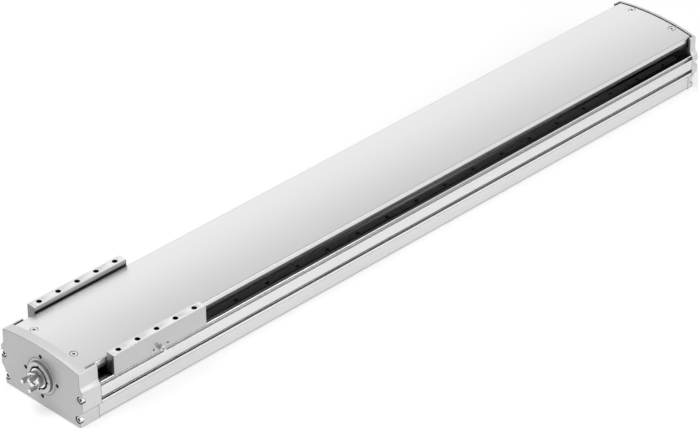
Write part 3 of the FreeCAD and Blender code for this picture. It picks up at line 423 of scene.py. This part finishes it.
finishes = {
    # painted highlight on the upward long edges; painted shade from profileShade
    "anodised_profile": makeFinish("anodisedProfile", {
        "pattern": streaks, "patternSizes": {"Across": 1100.0, "Along": 1.2}, "dark": grey(0.68),
        "light": grey(0.76), "paintedFaceLight": {"Arris": 0.34}, "shade": profileShade, "shadeDepth": 1.0,
        "metallic": 0.95, "rough": (0.18, 0.28), "bump": 0.03, "depth": 0.2 * mm}),
    # painted light: lighter tops, darker ends, bright upward edges; painted shade from capShade
    "cast_cap": makeFinish("blastedCap", {
        "pattern": speckle, "patternSizes": {"Grain": 1600.0}, "dark": grey(0.72), "light": grey(0.8),
        "paintedFaceLight": {"Top": 0.06, "End": -0.16, "Arris": 0.22}, "shade": capShade, "shadeDepth": 0.88,
        "metallic": 0.35, "rough": (0.4, 0.52), "bump": 0.1, "depth": 0.1 * mm}),
    # painted light: darker sides and brighter upward edges; painted shade from coverShade
    "cover_sheet": makeFinish("satinCover", {
        "pattern": streaks, "patternSizes": {"Across": 1500.0, "Along": 2.0}, "dark": grey(0.84),
        "light": grey(0.9), "paintedFaceLight": {"Side": -0.17, "Arris": 0.1}, "shade": coverShade, "shadeDepth": 1.0,
        "metallic": 0.95, "rough": (0.28, 0.36), "bump": 0.04, "depth": 0.1 * mm}),
    # painted light: much lighter tops and darker ends; painted shade from barShade
    "carriage_aluminium": makeFinish("milledCarriage", {
        "pattern": streaks, "patternSizes": {"Across": 800.0, "Along": 6.0}, "dark": grey(0.48),
        "light": grey(0.55), "paintedFaceLight": {"Top": 0.78, "End": -0.56}, "shade": barShade, "shadeDepth": 0.9,
        "metallic": 0.9, "rough": (0.24, 0.34), "bump": 0.06, "depth": 0.1 * mm}),
    "rail_steel": makeFinish("groundRail", {
        "pattern": streaks, "patternSizes": {"Across": 2200.0, "Along": 4.0}, "dark": grey(0.2),
        "light": grey(0.28), "metallic": 0.5, "rough": (0.24, 0.36), "bump": 0.06, "depth": 0.1 * mm}),
    "screw_steel": makeFinish("groundScrew", {
        "pattern": rings, "dark": grey(0.52), "light": grey(0.62), "metallic": 1.0, "rough": (0.14, 0.26),
        "bump": 0.05, "depth": 0.1 * mm}),
    "bearing_steel": makeFinish("bearingSteel", {
        "pattern": rings, "dark": grey(0.5), "light": grey(0.6), "metallic": 1.0, "rough": (0.15, 0.26),
        "bump": 0.05, "depth": 0.1 * mm}),
    # painted shade in the screws' sockets from socketShade
    "fastener_steel": makeFinish("zincFastener", {
        "pattern": speckle, "patternSizes": {"Grain": 2600.0}, "dark": grey(0.84), "light": grey(0.94),
        "shade": socketShade, "shadeDepth": 0.85, "metallic": 1.0, "rough": (0.24, 0.38), "bump": 0.06,
        "depth": 0.05 * mm}),
    # painted light: bright ends against darker walls
    "hub_aluminium": makeFinish("turnedHub", {
        "pattern": rings, "dark": grey(0.32), "light": grey(0.4), "paintedFaceLight": {"End": 1.35}, "metallic": 1.0,
        "rough": (0.14, 0.24), "bump": 0.1, "depth": 0.1 * mm}),
    # painted light and shade: bright ends against dark walls
    "collar_aluminium": makeFinish("turnedCollar", {
        "pattern": rings, "dark": grey(0.18), "light": grey(0.21), "paintedFaceLight": {"End": 2.8}, "metallic": 0.35,
        "rough": (0.34, 0.46), "bump": 0.06, "depth": 0.1 * mm}),
    "black_oxide": makeFinish("blackOxide", {
        "pattern": speckle, "patternSizes": {"Grain": 2600.0}, "dark": grey(0.06), "light": grey(0.1),
        "metallic": 0.8, "rough": (0.34, 0.5), "bump": 0.06, "depth": 0.05 * mm}),
    "black_plastic": makeFinish("mouldedPlastic", {
        "pattern": speckle, "patternSizes": {"Grain": 1200.0}, "dark": grey(0.012), "light": grey(0.022),
        "metallic": 0.0, "rough": (0.42, 0.6), "bump": 0.15, "depth": 0.1 * mm}),
    "black_rubber": makeFinish("mouldedRubber", {
        "pattern": speckle, "patternSizes": {"Grain": 900.0}, "dark": grey(0.008), "light": grey(0.016),
        "metallic": 0.0, "rough": (0.6, 0.8), "bump": 0.2, "depth": 0.1 * mm}),
}
ownFinishes = {
    # painted light and shade: bright ends against dark walls
    "lock_nut": makeFinish("turnedNut", {
        "pattern": rings, "dark": grey(0.2), "light": grey(0.26), "paintedFaceLight": {"End": 2.7}, "metallic": 1.0,
        "rough": (0.2, 0.3), "bump": 0.08, "depth": 0.1 * mm}),
    # painted light: faces looking along Y made lighter
    "grease_nipple": makeFinish("turnedNipple", {
        "pattern": speckle, "patternSizes": {"Grain": 2600.0}, "dark": grey(0.56), "light": grey(0.64),
        "paintedFaceLight": {"Side": 0.5}, "metallic": 1.0, "rough": (0.2, 0.32), "bump": 0.06, "depth": 0.05 * mm}),
}


def finishOf(nodeName):
    return ownFinishes.get(nodeName, finishes[slotOfNode[nodeName]])


for nodeName, piece in frame["nodes"].items():
    piece.data.materials.clear()
    piece.data.materials.append(finishOf(nodeName))
print("finishes made:", len(finishes) + len(ownFinishes))


# making meshes

def newPiece(name, mesh):
    piece = bpy.data.objects.new(name, mesh)
    scene.collection.objects.link(piece)
    return piece


def settled(piece):  # the evaluated mesh takes the modifiers' place
    graph = bpy.context.evaluated_depsgraph_get()
    mesh = bpy.data.meshes.new_from_object(piece.evaluated_get(graph), depsgraph=graph)
    piece.modifiers.clear()
    piece.data = mesh
    return piece


def standFor(piece, nodeName):
    piece.data.materials.clear()
    piece.data.materials.append(finishOf(nodeName))
    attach(piece, frame["nodes"][nodeName]["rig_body"])
    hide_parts(nodeName)
    return piece


mergeReach = 0.001 * mm


def mergedCopy(nodeName):
    shape = bmesh.new()
    shape.from_mesh(frame["nodes"][nodeName].data)
    bmesh.ops.remove_doubles(shape, verts=shape.verts, dist=mergeReach)
    return shape


def smoothByAngle(mesh, degrees=30.0):
    mesh.shade_smooth()
    mesh.set_sharp_from_angle(angle=math.radians(degrees))


softLook = {"flatAngle": 0.3, "near": 0.1 * mm, "roundProfile": 0.5, "steps": 2, "edgeAngle": 32.0}


# a node's own shape with its edges rounded; the long edges that rolled places are rolled over further
def softened(nodeName, width, rolled=None):
    look = softLook
    shape = mergedCopy(nodeName)
    flat = math.radians(look["flatAngle"])
    bmesh.ops.dissolve_limit(shape, angle_limit=flat, verts=shape.verts, edges=shape.edges)
    if rolled:
        spot = Vector((0.0, rolled["across"], rolled["up"]))

        def onEdge(vert):
            return (Vector((0.0, abs(vert.co.y), vert.co.z)) - spot).length < look["near"]

        edges = [edge for edge in shape.edges if all(onEdge(vert) for vert in edge.verts)]
        bmesh.ops.bevel(shape, geom=edges, offset=rolled["radius"], offset_type="OFFSET",
                        segments=rolled["steps"], profile=look["roundProfile"], affect="EDGES")
    mesh = bpy.data.meshes.new(nodeName)
    shape.to_mesh(mesh)
    shape.free()
    mesh.shade_smooth()
    piece = newPiece("soft_" + nodeName, mesh)
    bevel = piece.modifiers.new("roundEdges", "BEVEL")
    bevel.width = width
    bevel.segments = look["steps"]
    bevel.limit_method = "ANGLE"
    bevel.angle_limit = math.radians(look["edgeAngle"])
    bevel.use_clamp_overlap = False
    bevel.harden_normals = True
    settled(piece)
    return standFor(piece, nodeName)


# corners of each separate solid in a node
def solidBoxes(nodeName):
    shape = mergedCopy(nodeName)
    seen = set()
    found = []
    for first in shape.verts:
        if first in seen:
            continue
        seen.add(first)
        island = [first]
        for vert in island:
            for edge in vert.link_edges:
                other = edge.other_vert(vert)
                if other not in seen:
                    seen.add(other)
                    island.append(other)
        low = Vector([min(vert.co[axis] for vert in island) for axis in range(3)])
        high = Vector([max(vert.co[axis] for vert in island) for axis in range(3)])
        found.append((low, high))
    shape.free()
    return found


# a turned shape about +Z from (radius, height) rings; a third value of 6 gives a hexagon across that radius
def spun(name, profile, around=24):
    shape = bmesh.new()
    loops = []
    for radius, height, *corners in profile:
        if radius == 0.0:
            loops.append([shape.verts.new((0.0, 0.0, height))] * around)
            continue
        loop = []
        for k in range(around):
            angle = 2.0 * math.pi * k / around
            reach = radius
            if corners:
                sector = math.pi / corners[0]
                reach = radius / math.cos(math.fmod(angle, 2.0 * sector) - sector)
            loop.append(shape.verts.new((reach * math.cos(angle), reach * math.sin(angle), height)))
        loops.append(loop)
    for lower, upper in zip(loops, loops[1:]):
        for k in range(around):
            quad = [lower[k - 1], lower[k], upper[k], upper[k - 1]]
            shape.faces.new(list(dict.fromkeys(quad)))
    bmesh.ops.recalc_face_normals(shape, faces=shape.faces)
    mesh = bpy.data.meshes.new(name)
    shape.to_mesh(mesh)
    shape.free()
    smoothByAngle(mesh)
    return mesh


# geometry node trees

def runTree(name, tree, values, mesh=None):
    piece = newPiece(name, mesh or bpy.data.meshes.new(name))
    modifier = piece.modifiers.new(tree.name, "NODES")
    modifier.node_group = tree
    for item in tree.interface.items_tree:
        if item.in_out == "INPUT" and item.name in values:
            modifier[item.identifier] = values[item.name]
    return settled(piece)


def makeScatterTree():  # one shape at each point of a mesh, turned as asked
    tree, given, result = newTree(
        "shapeAtPoints", "GeometryNodeTree",
        [("Points", "NodeSocketGeometry", None), ("Shape", "NodeSocketObject", None),
         ("Turn", "NodeSocketVector", None), ("Finish", "NodeSocketMaterial", None)],
        [("Mesh", "NodeSocketGeometry")],
    )
    shape = put(tree, "GeometryNodeObjectInfo", {"Object": given["Shape"], "As Instance": True})
    turn = put(tree, "FunctionNodeEulerToRotation", {0: given["Turn"]})
    spread = put(tree, "GeometryNodeInstanceOnPoints", {
        "Points": given["Points"], "Instance": shape.outputs["Geometry"], "Rotation": turn.outputs[0]})
    real = put(tree, "GeometryNodeRealizeInstances", {0: spread.outputs[0]})
    painted = put(tree, "GeometryNodeSetMaterial", {"Geometry": real.outputs[0], "Material": given["Finish"]})
    tree.links.new(painted.outputs[0], result["Mesh"])
    return tree


def makeThreadTree():  # a ridge that winds up a shaft or down a hole
    tree, given, result = newTree(
        "windingRidge", "GeometryNodeTree",
        [("Radius", "NodeSocketFloat", 0.01), ("Lead", "NodeSocketFloat", 0.01),
         ("Length", "NodeSocketFloat", 0.1), ("Foot", "NodeSocketFloat", 0.006),
         ("Top", "NodeSocketFloat", 0.004), ("Rise", "NodeSocketFloat", 0.0015),
         ("Steps", "NodeSocketInt", 32), ("Finish", "NodeSocketMaterial", None)],
        [("Mesh", "NodeSocketGeometry")],
    )
    turns = calc(tree, "DIVIDE", given["Length"], given["Lead"])
    path = put(tree, "GeometryNodeCurveSpiral",
               {"Resolution": given["Steps"], "Rotations": turns, "Start Radius": given["Radius"],
                "End Radius": given["Radius"], "Height": given["Length"]})
    upright = put(tree, "GeometryNodeSetCurveNormal", {"Curve": path.outputs[0]}, mode="Z_UP")
    sizes = {"Bottom Width": given["Foot"], "Top Width": given["Top"], "Offset": 0.0, "Height": given["Rise"]}
    section = put(tree, "GeometryNodeCurvePrimitiveQuadrilateral", sizes, mode="TRAPEZOID")
    outward = put(tree, "GeometryNodeTransform",
                  {"Geometry": section.outputs[0], "Rotation": (0.0, 0.0, quarterTurn)})
    ridge = put(tree, "GeometryNodeCurveToMesh",
                {"Curve": upright.outputs[0], "Profile Curve": outward.outputs[0], "Fill Caps": True})
    real = put(tree, "GeometryNodeRealizeInstances", {0: ridge.outputs[0]})
    painted = put(tree, "GeometryNodeSetMaterial", {"Geometry": real.outputs[0], "Material": given["Finish"]})
    tree.links.new(painted.outputs[0], result["Mesh"])
    return tree


scatterTree = makeScatterTree()
threadTree = makeThreadTree()
turnOf = {"+Z": (0.0, 0.0, 0.0), "-X": (0.0, -quarterTurn, 0.0), "+X": (0.0, quarterTurn, 0.0),
          "-Y": (quarterTurn, 0.0, 0.0)}


def pointMesh(name, spots):
    mesh = bpy.data.meshes.new(name)
    mesh.from_pydata([tuple(spot) for spot in spots], [], [])
    return mesh


def scattered(name, shapeMesh, spots, facing, finish):
    pattern = newPiece(name + "_one", shapeMesh)
    values = {"Shape": pattern, "Turn": turnOf[facing], "Finish": finish}
    piece = runTree(name, scatterTree, values, pointMesh(name, spots))
    bpy.data.objects.remove(pattern)
    smoothByAngle(piece.data)
    return piece


# a section of (across, up) corners drawn out along X
def extruded(name, section, start, end):
    shape = bmesh.new()
    ends = [[shape.verts.new((x, y, z)) for y, z in section] for x in (start, end)]
    shape.faces.new(ends[0])
    shape.faces.new(list(reversed(ends[1])))
    for k in range(len(section)):
        shape.faces.new([ends[0][k - 1], ends[1][k - 1], ends[1][k], ends[0][k]])
    bmesh.ops.recalc_face_normals(shape, faces=shape.faces)
    mesh = bpy.data.meshes.new(name)
    shape.to_mesh(mesh)
    shape.free()
    return newPiece(name, mesh)


def drilled(piece, toolMesh, spots):
    tool = scattered(piece.name + "_tool", toolMesh, spots, "+Z", finishes["fastener_steel"])
    cut = piece.modifiers.new("holes", "BOOLEAN")
    cut.operation = "DIFFERENCE"
    cut.object = tool
    settled(piece)
    bpy.data.objects.remove(tool)


# socket screws, in place of the plain ones of each group

socketLook = {
    "width": 0.62, "edge": 0.1, "depth": 0.55,  # shares of the head's radius and of its height
    "point": 0.25, "mouth": 1.2,  # shares of the socket's width
    "lip": 0.5, "round": 0.3,  # shares of the edge
}


def socketProfile(head, headHeight, shank, length):
    look = socketLook
    across = head * look["width"]
    edge = head * look["edge"]
    turn = look["round"] * edge
    floor = -headHeight * look["depth"]
    end = -headHeight - length
    return [(0.0, floor - look["point"] * across), (across, floor, 6), (across, -look["lip"] * edge, 6),
            (across * look["mouth"], 0.0), (head - edge, 0.0), (head - turn, -turn), (head, -edge),
            (head, -headHeight), (shank, -headHeight), (shank, end), (0.0, end)]


def socketScrews(nodeName, facing, headHeight, shank):
    axis = "XYZ".index(facing[1])
    spots = []
    for low, high in solidBoxes(nodeName):
        spot = (low + high) / 2.0
        spot[axis] = high[axis] if facing[0] == "+" else low[axis]
        spots.append(spot)
    size = high - low  # the screws of a group are alike
    head = size[(axis + 1) % 3] / 2.0
    length = size[axis] - headHeight
    mesh = spun(nodeName + "_one", socketProfile(head, headHeight, shank, length))
    piece = scattered("socket_" + nodeName, mesh, spots, facing, finishOf(nodeName))
    return standFor(piece, nodeName)


screwSizes = {  # way they face, height of the head and radius of the shank in millimetres
    "drive_cap_screws": ("-X", 5.0, 2.5), "end_cap_screws": ("+X", 5.0, 2.5),
    "rail_screws_left": ("+Z", 4.0, 2.0), "rail_screws_right": ("+Z", 4.0, 2.0),
    "bar_screws": ("+Z", 3.0, 2.0), "block_screws": ("+Z", 4.0, 2.0), "nut_screws": ("-X", 5.0, 2.5),
}
for nodeName, (facing, headHeight, shank) in screwSizes.items():
    socketScrews(nodeName, facing, headHeight * mm, shank * mm)
print("socket screws made:", len(screwSizes), "groups")


# countersunk screws of the cover

coverScrewLook = {"shank": 2.5 * mm, "socket": 2.0 * mm, "depth": 1.6 * mm, "rim": 0.25 * mm,
                  "point": 0.4, "mouth": 1.2, "around": 36}


def coverScrews():
    look = coverScrewLook
    spots = []
    for low, high in solidBoxes("cover_screws"):
        spot = (low + high) / 2.0
        spot.z = high.z
        spots.append(spot)
    head = (high.x - low.x) / 2.0
    shank, socket, depth, rim = (look[name] for name in ("shank", "socket", "depth", "rim"))
    cone = head - shank
    end = low.z - high.z
    profile = [(0.0, -depth - look["point"] * socket), (socket, -depth, 6), (socket, -rim, 6),
               (socket * look["mouth"], 0.0), (head - rim, 0.0), (head, -rim), (shank, -cone), (shank, end),
               (0.0, end)]
    mesh = spun("cover_screw_one", profile, look["around"])
    piece = scattered("socket_cover_screws", mesh, spots, "+Z", finishOf("cover_screws"))
    standFor(piece, "cover_screws")
    return spots, head


screwSpots, screwHead = coverScrews()
print("cover screws made:", len(screwSpots))


# arched cover

coverLook = {
    "crownRadius": 415.0 * mm, "thickness": 3.0 * mm, "skirt": 8.7 * mm, "tuck": 3.0 * mm,
    "edgeRound": 1.3 * mm, "crisp": 0.2 * mm, "archSteps": 64, "roundSteps": 6, "smoothAngle": 15.0,
    "room": 0.3 * mm, "mouth": 1.1 * mm, "mouthDepth": 0.7 * mm, "through": 9.0 * mm,  # holes for the screws
}


def coverSection(low, high):
    look = coverLook
    radius, wall, turn = look["crownRadius"], look["thickness"], look["edgeRound"]
    half, crown = high.y, high.z
    centre = crown - radius

    def arch(reach, depth=0.0):
        return centre + math.sqrt((radius - depth) ** 2 - reach ** 2)

    bend = low.z + look["skirt"]
    outer = half - turn
    level = arch(outer, turn)  # middle of the rolled edge
    right = [(half - wall - look["tuck"], low.z), (half - look["tuck"], low.z), (half, bend),
             (half, level - look["crisp"])]
    sweep = math.atan2(level - centre, outer)
    for k in range(look["roundSteps"] + 1):
        angle = sweep * k / look["roundSteps"]
        right.append((outer + turn * math.cos(angle), level + turn * math.sin(angle)))
    steps = look["archSteps"]
    reaches = [outer - 2.0 * outer * k / steps for k in range(1, steps)]
    arc = [(reach, arch(reach)) for reach in reaches]
    left = [(-y, z) for y, z in reversed(right)]
    inner = half - wall
    reaches = [-inner + 2.0 * inner * k / steps for k in range(steps + 1)]
    under = [(reach, arch(reach, wall)) for reach in reaches]
    return [*right, *arc, *left, (-inner, bend), *under, (inner, bend)]


def coverPiece():
    low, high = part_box("cover")
    piece = extruded("arched_cover", coverSection(low, high), low.x, high.x)
    shank = coverScrewLook["shank"]
    room = coverLook["room"]
    mouth = screwHead + coverLook["mouth"]
    deep = coverLook["through"]
    sink = [(0.0, deep), (mouth, deep), (mouth, 0.0), (screwHead + room, -coverLook["mouthDepth"]),
            (shank + room, shank - screwHead), (shank + room, -deep), (0.0, -deep)]
    drilled(piece, spun("sink_one", sink, coverScrewLook["around"]), screwSpots)
    smoothByAngle(piece.data, coverLook["smoothAngle"])
    return standFor(piece, "cover")


coverPiece()
print("cover made")


# guide rails with their waists and with a stepped hole over each screw

railLook = {  # half the section as across and up, the hole as radius and height
    "half": [(7.5, 0.0), (7.5, 4.8), (6.1, 6.2), (6.1, 8.2), (7.5, 9.6), (7.5, 13.2), (6.7, 14.0)],
    "hole": [(0.0, 2.0), (3.75, 2.0), (3.75, -5.3), (2.25, -5.3), (2.25, -16.0), (0.0, -16.0)],
    "around": 32,
}


def guideRail(side):
    low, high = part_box("guide_rail_" + side)
    middle = (low.y + high.y) / 2.0
    half = [(y * mm, low.z + z * mm) for y, z in railLook["half"]]
    section = [(middle + y, z) for y, z in half] + [(middle - y, z) for y, z in reversed(half)]
    piece = extruded("drilled_rail_" + side, section, low.x, high.x)
    spots = [((near.x + far.x) / 2.0, middle, high.z) for near, far in solidBoxes("rail_screws_" + side)]
    hole = [(radius * mm, height * mm) for radius, height in railLook["hole"]]
    drilled(piece, spun("rail_hole_one", hole, railLook["around"]), spots)
    smoothByAngle(piece.data)
    return standFor(piece, "guide_rail_" + side)


for side in ("left", "right"):
    guideRail(side)
print("guide rails made")


# ball screw: its stepped shaft and the land that winds between the ball grooves

screwLook = {
    "steps": [(0.0, 5.2), (0.8, 6.0), (7.5, 6.0), (7.5, 8.5), (45.5, 8.5), (45.5, 10.0), (47.0, 10.0),
              (47.4, 8.7), (1248.0, 8.7), (1248.4, 10.0), (1251.0, 10.0), (1251.0, 7.5), (1262.0, 7.5),
              (1262.0, 7.0), (1263.2, 7.0), (1263.2, 7.5), (1264.2, 7.5)],  # place along X and radius
    "around": 48, "lead": 10.0 * mm, "root": 8.7 * mm, "foot": 6.4 * mm, "top": 4.2 * mm, "rise": 2.6 * mm,
    "turnSteps": 36, "threadStart": 47.0 * mm, "threadLength": 1201.0 * mm, "smoothAngle": 40.0,
}


def ballScrew():
    look = screwLook
    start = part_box("screw_shaft")[0].x
    lying = Matrix.Rotation(quarterTurn, 4, "Y")
    profile = [(radius * mm, along * mm) for along, radius in look["steps"]]
    profile = [(0.0, profile[0][1]), *profile, (0.0, profile[-1][1])]
    shaft = newPiece("ball_screw", spun("ball_screw", profile, look["around"]))
    shaft.data.transform(Matrix.Translation((start, 0.0, screwLevel)) @ lying)
    ridge = runTree("screw_land", threadTree, {
        "Radius": look["root"], "Lead": look["lead"], "Length": look["threadLength"], "Foot": look["foot"],
        "Top": look["top"], "Rise": look["rise"], "Steps": look["turnSteps"],
        "Finish": finishes["screw_steel"]})
    ridge.data.transform(Matrix.Translation((start + look["threadStart"], 0.0, screwLevel)) @ lying)
    smoothByAngle(ridge.data, look["smoothAngle"])
    standFor(shaft, "screw_shaft")
    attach(ridge, "screw")


ballScrew()
print("ball screw made")


# threads down the tapped holes

tapLook = {"rise": 0.35, "foot": 0.8, "top": 0.2, "sunk": 0.5,  # shares of the pitch
           "steps": 20}  # in each turn


def patternSpots(mount):
    dims = mount["dims"]
    middle = Vector(mount["pos_m"])
    if "pcd_mm" in dims:
        reach = dims["pcd_mm"] * mm / 2.0
        return [middle + Vector((0.0, reach * y, reach * z)) for y, z in ((1, 0), (0, 1), (-1, 0), (0, -1))]
    halfX = dims.get("spacing_x_mm", 0.0) * mm / 2.0
    halfY = dims.get("spacing_y_mm", 0.0) * mm / 2.0
    corners = {(x * halfX, y * halfY) for x in (1, -1) for y in (1, -1)}
    return [middle + Vector((x, y, 0.0)) for x, y in sorted(corners)]


def tappedHoles(name, mountNames, facing, pitch, depth, body, slotName):
    look = tapLook
    radius = mountOf[mountNames[0]]["dims"]["hole_r_mm"] * mm
    ridge = runTree(name + "_one", threadTree, {
        "Radius": radius, "Lead": pitch, "Length": depth, "Foot": pitch * look["foot"],
        "Top": pitch * look["top"], "Rise": pitch * look["rise"], "Steps": look["steps"],
        "Finish": finishes[slotName]})
    mesh = ridge.data
    mesh.transform(Matrix.Translation((0.0, 0.0, -depth - look["sunk"] * pitch)))
    bpy.data.objects.remove(ridge)
    spots = [spot for mountName in mountNames for spot in patternSpots(mountOf[mountName])]
    piece = scattered(name, mesh, spots, facing, finishes[slotName])
    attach(piece, body)


tappedHoles("bar_hole_threads", ["carriage_outer_holes", "carriage_inner_holes", "carriage_middle_holes"],
            "+Z", 1.25 * mm, 13.0 * mm, "carriage", "carriage_aluminium")
tappedHoles("motor_hole_threads", ["motor_flange_holes"], "-X", 1.0 * mm, 12.0 * mm, "base", "cast_cap")
tappedHoles("side_hole_threads", ["side_holes"], "-Y", 0.5 * mm, 5.0 * mm, "carriage", "carriage_aluminium")
print("tapped holes made")


# grease nipple: a hexagon, a neck and a rounded head

nippleLook = [(0.0, 0.0), (0.6, 0.0), (0.6, -0.5), (1.2, -0.3), (2.3, -0.9), (2.9, -1.9), (2.9, -2.6),
              (1.9, -3.4), (1.9, -5.6), (2.6, -6.2), (3.4, -6.5, 6), (3.5, -6.8, 6), (3.5, -9.9, 6),
              (2.5, -10.0), (2.5, -15.9), (0.0, -15.9)]


def greaseNipple():
    low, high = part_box("grease_nipple")
    profile = [(radius * mm, height * mm, *corners) for radius, height, *corners in nippleLook]
    tip = Vector(((low.x + high.x) / 2.0, low.y, (low.z + high.z) / 2.0))
    mesh = spun("nipple_one", profile)
    piece = scattered("hex_grease_nipple", mesh, [tip], "-Y", finishOf("grease_nipple"))
    standFor(piece, "grease_nipple")


greaseNipple()
print("grease nipple made")


# pieces that keep their form and get rounded edges, in millimetres

roundings = {
    "base_profile": 0.4, "drive_cap": 0.5, "end_cap": 0.5, "mounting_bar_left": 0.35,
    "mounting_bar_right": 0.35, "pilot_collar": 0.25, "lock_nut": 0.5, "coupling_hub": 0.4,
    "carriage_plate": 0.4, "ball_nut": 0.4, "shaft_seal": 0.2,
}
runnerRounding = 0.4
for nodeName in frame["nodes"]:
    if nodeName.startswith("runner_"):
        roundings[nodeName] = runnerRounding
capRoll = {"across": 78.5 * mm, "up": 89.6 * mm, "radius": 1.4 * mm, "steps": 4}
rolledEdges = {"drive_cap": capRoll, "end_cap": capRoll}
for nodeName, width in roundings.items():
    softened(nodeName, width * mm, rolledEdges.get(nodeName))
print("edges rounded:", len(roundings))


# floor, studio light and camera

stageLook = {
    "floorSize": 30.0, "floorLevel": -0.2 * mm, "floorTone": 0.9, "sky": 0.3,
    "glow": 0.44, "bounce": 0.15,  # what the floor adds for rays that see it directly, and for the others
    "zenith": (0.5, 0.8, 0.54),  # lift where the white starts and ends to fade, and the tone above
    "backdrop": (0.7, 0.7, 0.0),  # way to the white backdrop
    "room": (0.45, -0.15, 0.64),  # how far along that way it starts and ends to fade, and the tone elsewhere
}


def seenDirectly(tree):  # camera, mirror and glass rays
    path = put(tree, "ShaderNodeLightPath").outputs
    glossy = calc(tree, "MAXIMUM", path["Is Glossy Ray"], path["Is Transmission Ray"])
    return calc(tree, "MAXIMUM", path["Is Camera Ray"], glossy)


def paleFloor():
    half = stageLook["floorSize"] / 2.0
    level = stageLook["floorLevel"]
    corners = [(-half, -half, level), (half, -half, level), (half, half, level), (-half, half, level)]
    mesh = bpy.data.meshes.new("paleFloor")
    mesh.from_pydata(corners, [], [(0, 1, 2, 3)])
    floor = newPiece("pale_floor", mesh)
    material = bpy.data.materials.new("paleFloor")
    material.use_nodes = True
    tree = material.node_tree
    tree.nodes.clear()
    tone = stageLook["floorTone"]
    matt = put(tree, "ShaderNodeBsdfDiffuse", {"Color": (tone, tone, tone, 1.0)})
    glows = []
    for strength in (stageLook["bounce"], stageLook["glow"]):
        glows.append(put(tree, "ShaderNodeEmission", {"Color": plainWhite, "Strength": strength}).outputs[0])
    glow = put(tree, "ShaderNodeMixShader", {0: seenDirectly(tree), 1: glows[0], 2: glows[1]})
    lit = put(tree, "ShaderNodeAddShader", {0: matt.outputs[0], 1: glow.outputs[0]})
    leave = put(tree, "ShaderNodeOutputMaterial", {"Surface": lit.outputs[0]})
    leave.is_active_output = True
    mesh.materials.append(material)


def studioSky():
    world = bpy.data.worlds.new("studioSky")
    scene.world = world
    world.use_nodes = True
    tree = world.node_tree
    tree.nodes.clear()
    soft = put(tree, "ShaderNodeBackground", {"Color": plainWhite, "Strength": stageLook["sky"]}).outputs[0]
    heading = put(tree, "ShaderNodeTexCoord").outputs["Generated"]
    lift = put(tree, "ShaderNodeSeparateXYZ", {0: heading}).outputs["Z"]
    facing = put(tree, "ShaderNodeVectorMath", {0: heading, 1: stageLook["backdrop"]},
                 operation="DOT_PRODUCT").outputs["Value"]
    fades = []
    for value, (start, end, tone) in ((lift, stageLook["zenith"]), (facing, stageLook["room"])):
        fades.append(ramp(tree, value, start, end, 1.0, tone))
    direct = put(tree, "ShaderNodeLightPath").outputs["Is Camera Ray"]
    strength = calc(tree, "MAXIMUM", calc(tree, "MINIMUM", *fades), direct)
    bright = put(tree, "ShaderNodeBackground", {"Color": plainWhite, "Strength": strength}).outputs[0]
    mixed = put(tree, "ShaderNodeMixShader", {0: seenDirectly(tree), 1: soft, 2: bright})
    put(tree, "ShaderNodeOutputWorld", {"Surface": mixed.outputs[0]})


lampLooks = {
    "overhead": {"spot": (-0.9, 0.5, 2.6), "size": (1.6, 1.6), "power": 25.0},
    "rightFill": {"spot": (0.2, -2.4, 1.7), "size": (3.0, 1.2), "power": 24.0},
}
lampTarget = (0.0, 0.0, 0.05)


def softLamp(name, look):
    data = bpy.data.lights.new(name, "AREA")
    data.shape = "RECTANGLE"
    data.size, data.size_y = look["size"]
    data.energy = look["power"]
    lamp = bpy.data.objects.new(name, data)
    lamp.location = look["spot"]
    aim = Vector(lampTarget) - lamp.location
    lamp.rotation_euler = aim.to_track_quat("-Z", "Y").to_euler()
    scene.collection.objects.link(lamp)


viewLook = {"spot": (-3.4233, -3.4374, 3.1761), "azimuth": -44.45, "elevation": 33.08, "roll": -0.46,
            "focalPixels": 3960.1, "frameWidth": 698, "sensor": 36.0, "clip": (0.1, 60.0)}


def photoCamera():
    look = viewLook
    turn, lift, roll = (math.radians(look[name]) for name in ("azimuth", "elevation", "roll"))
    back = Vector((math.sin(turn) * math.cos(lift), -math.cos(turn) * math.cos(lift), math.sin(lift)))
    right = Vector((0.0, 0.0, 1.0)).cross(back).normalized()
    up = back.cross(right)
    across = right * math.cos(roll) + up * math.sin(roll)
    above = up * math.cos(roll) - right * math.sin(roll)
    data = bpy.data.cameras.new("photoCamera")
    data.sensor_width = look["sensor"]
    data.lens = look["focalPixels"] / look["frameWidth"] * look["sensor"]
    data.clip_start, data.clip_end = look["clip"]
    camera = bpy.data.objects.new("photoCamera", data)
    turned = Matrix((across, above, back)).transposed().to_4x4()
    camera.matrix_world = Matrix.Translation(look["spot"]) @ turned
    scene.collection.objects.link(camera)
    scene.camera = camera


paleFloor()
studioSky()
for lampName, lampLook in lampLooks.items():
    softLamp(lampName, lampLook)
photoCamera()
scene.view_settings.view_transform = "Standard"
print("stage set")
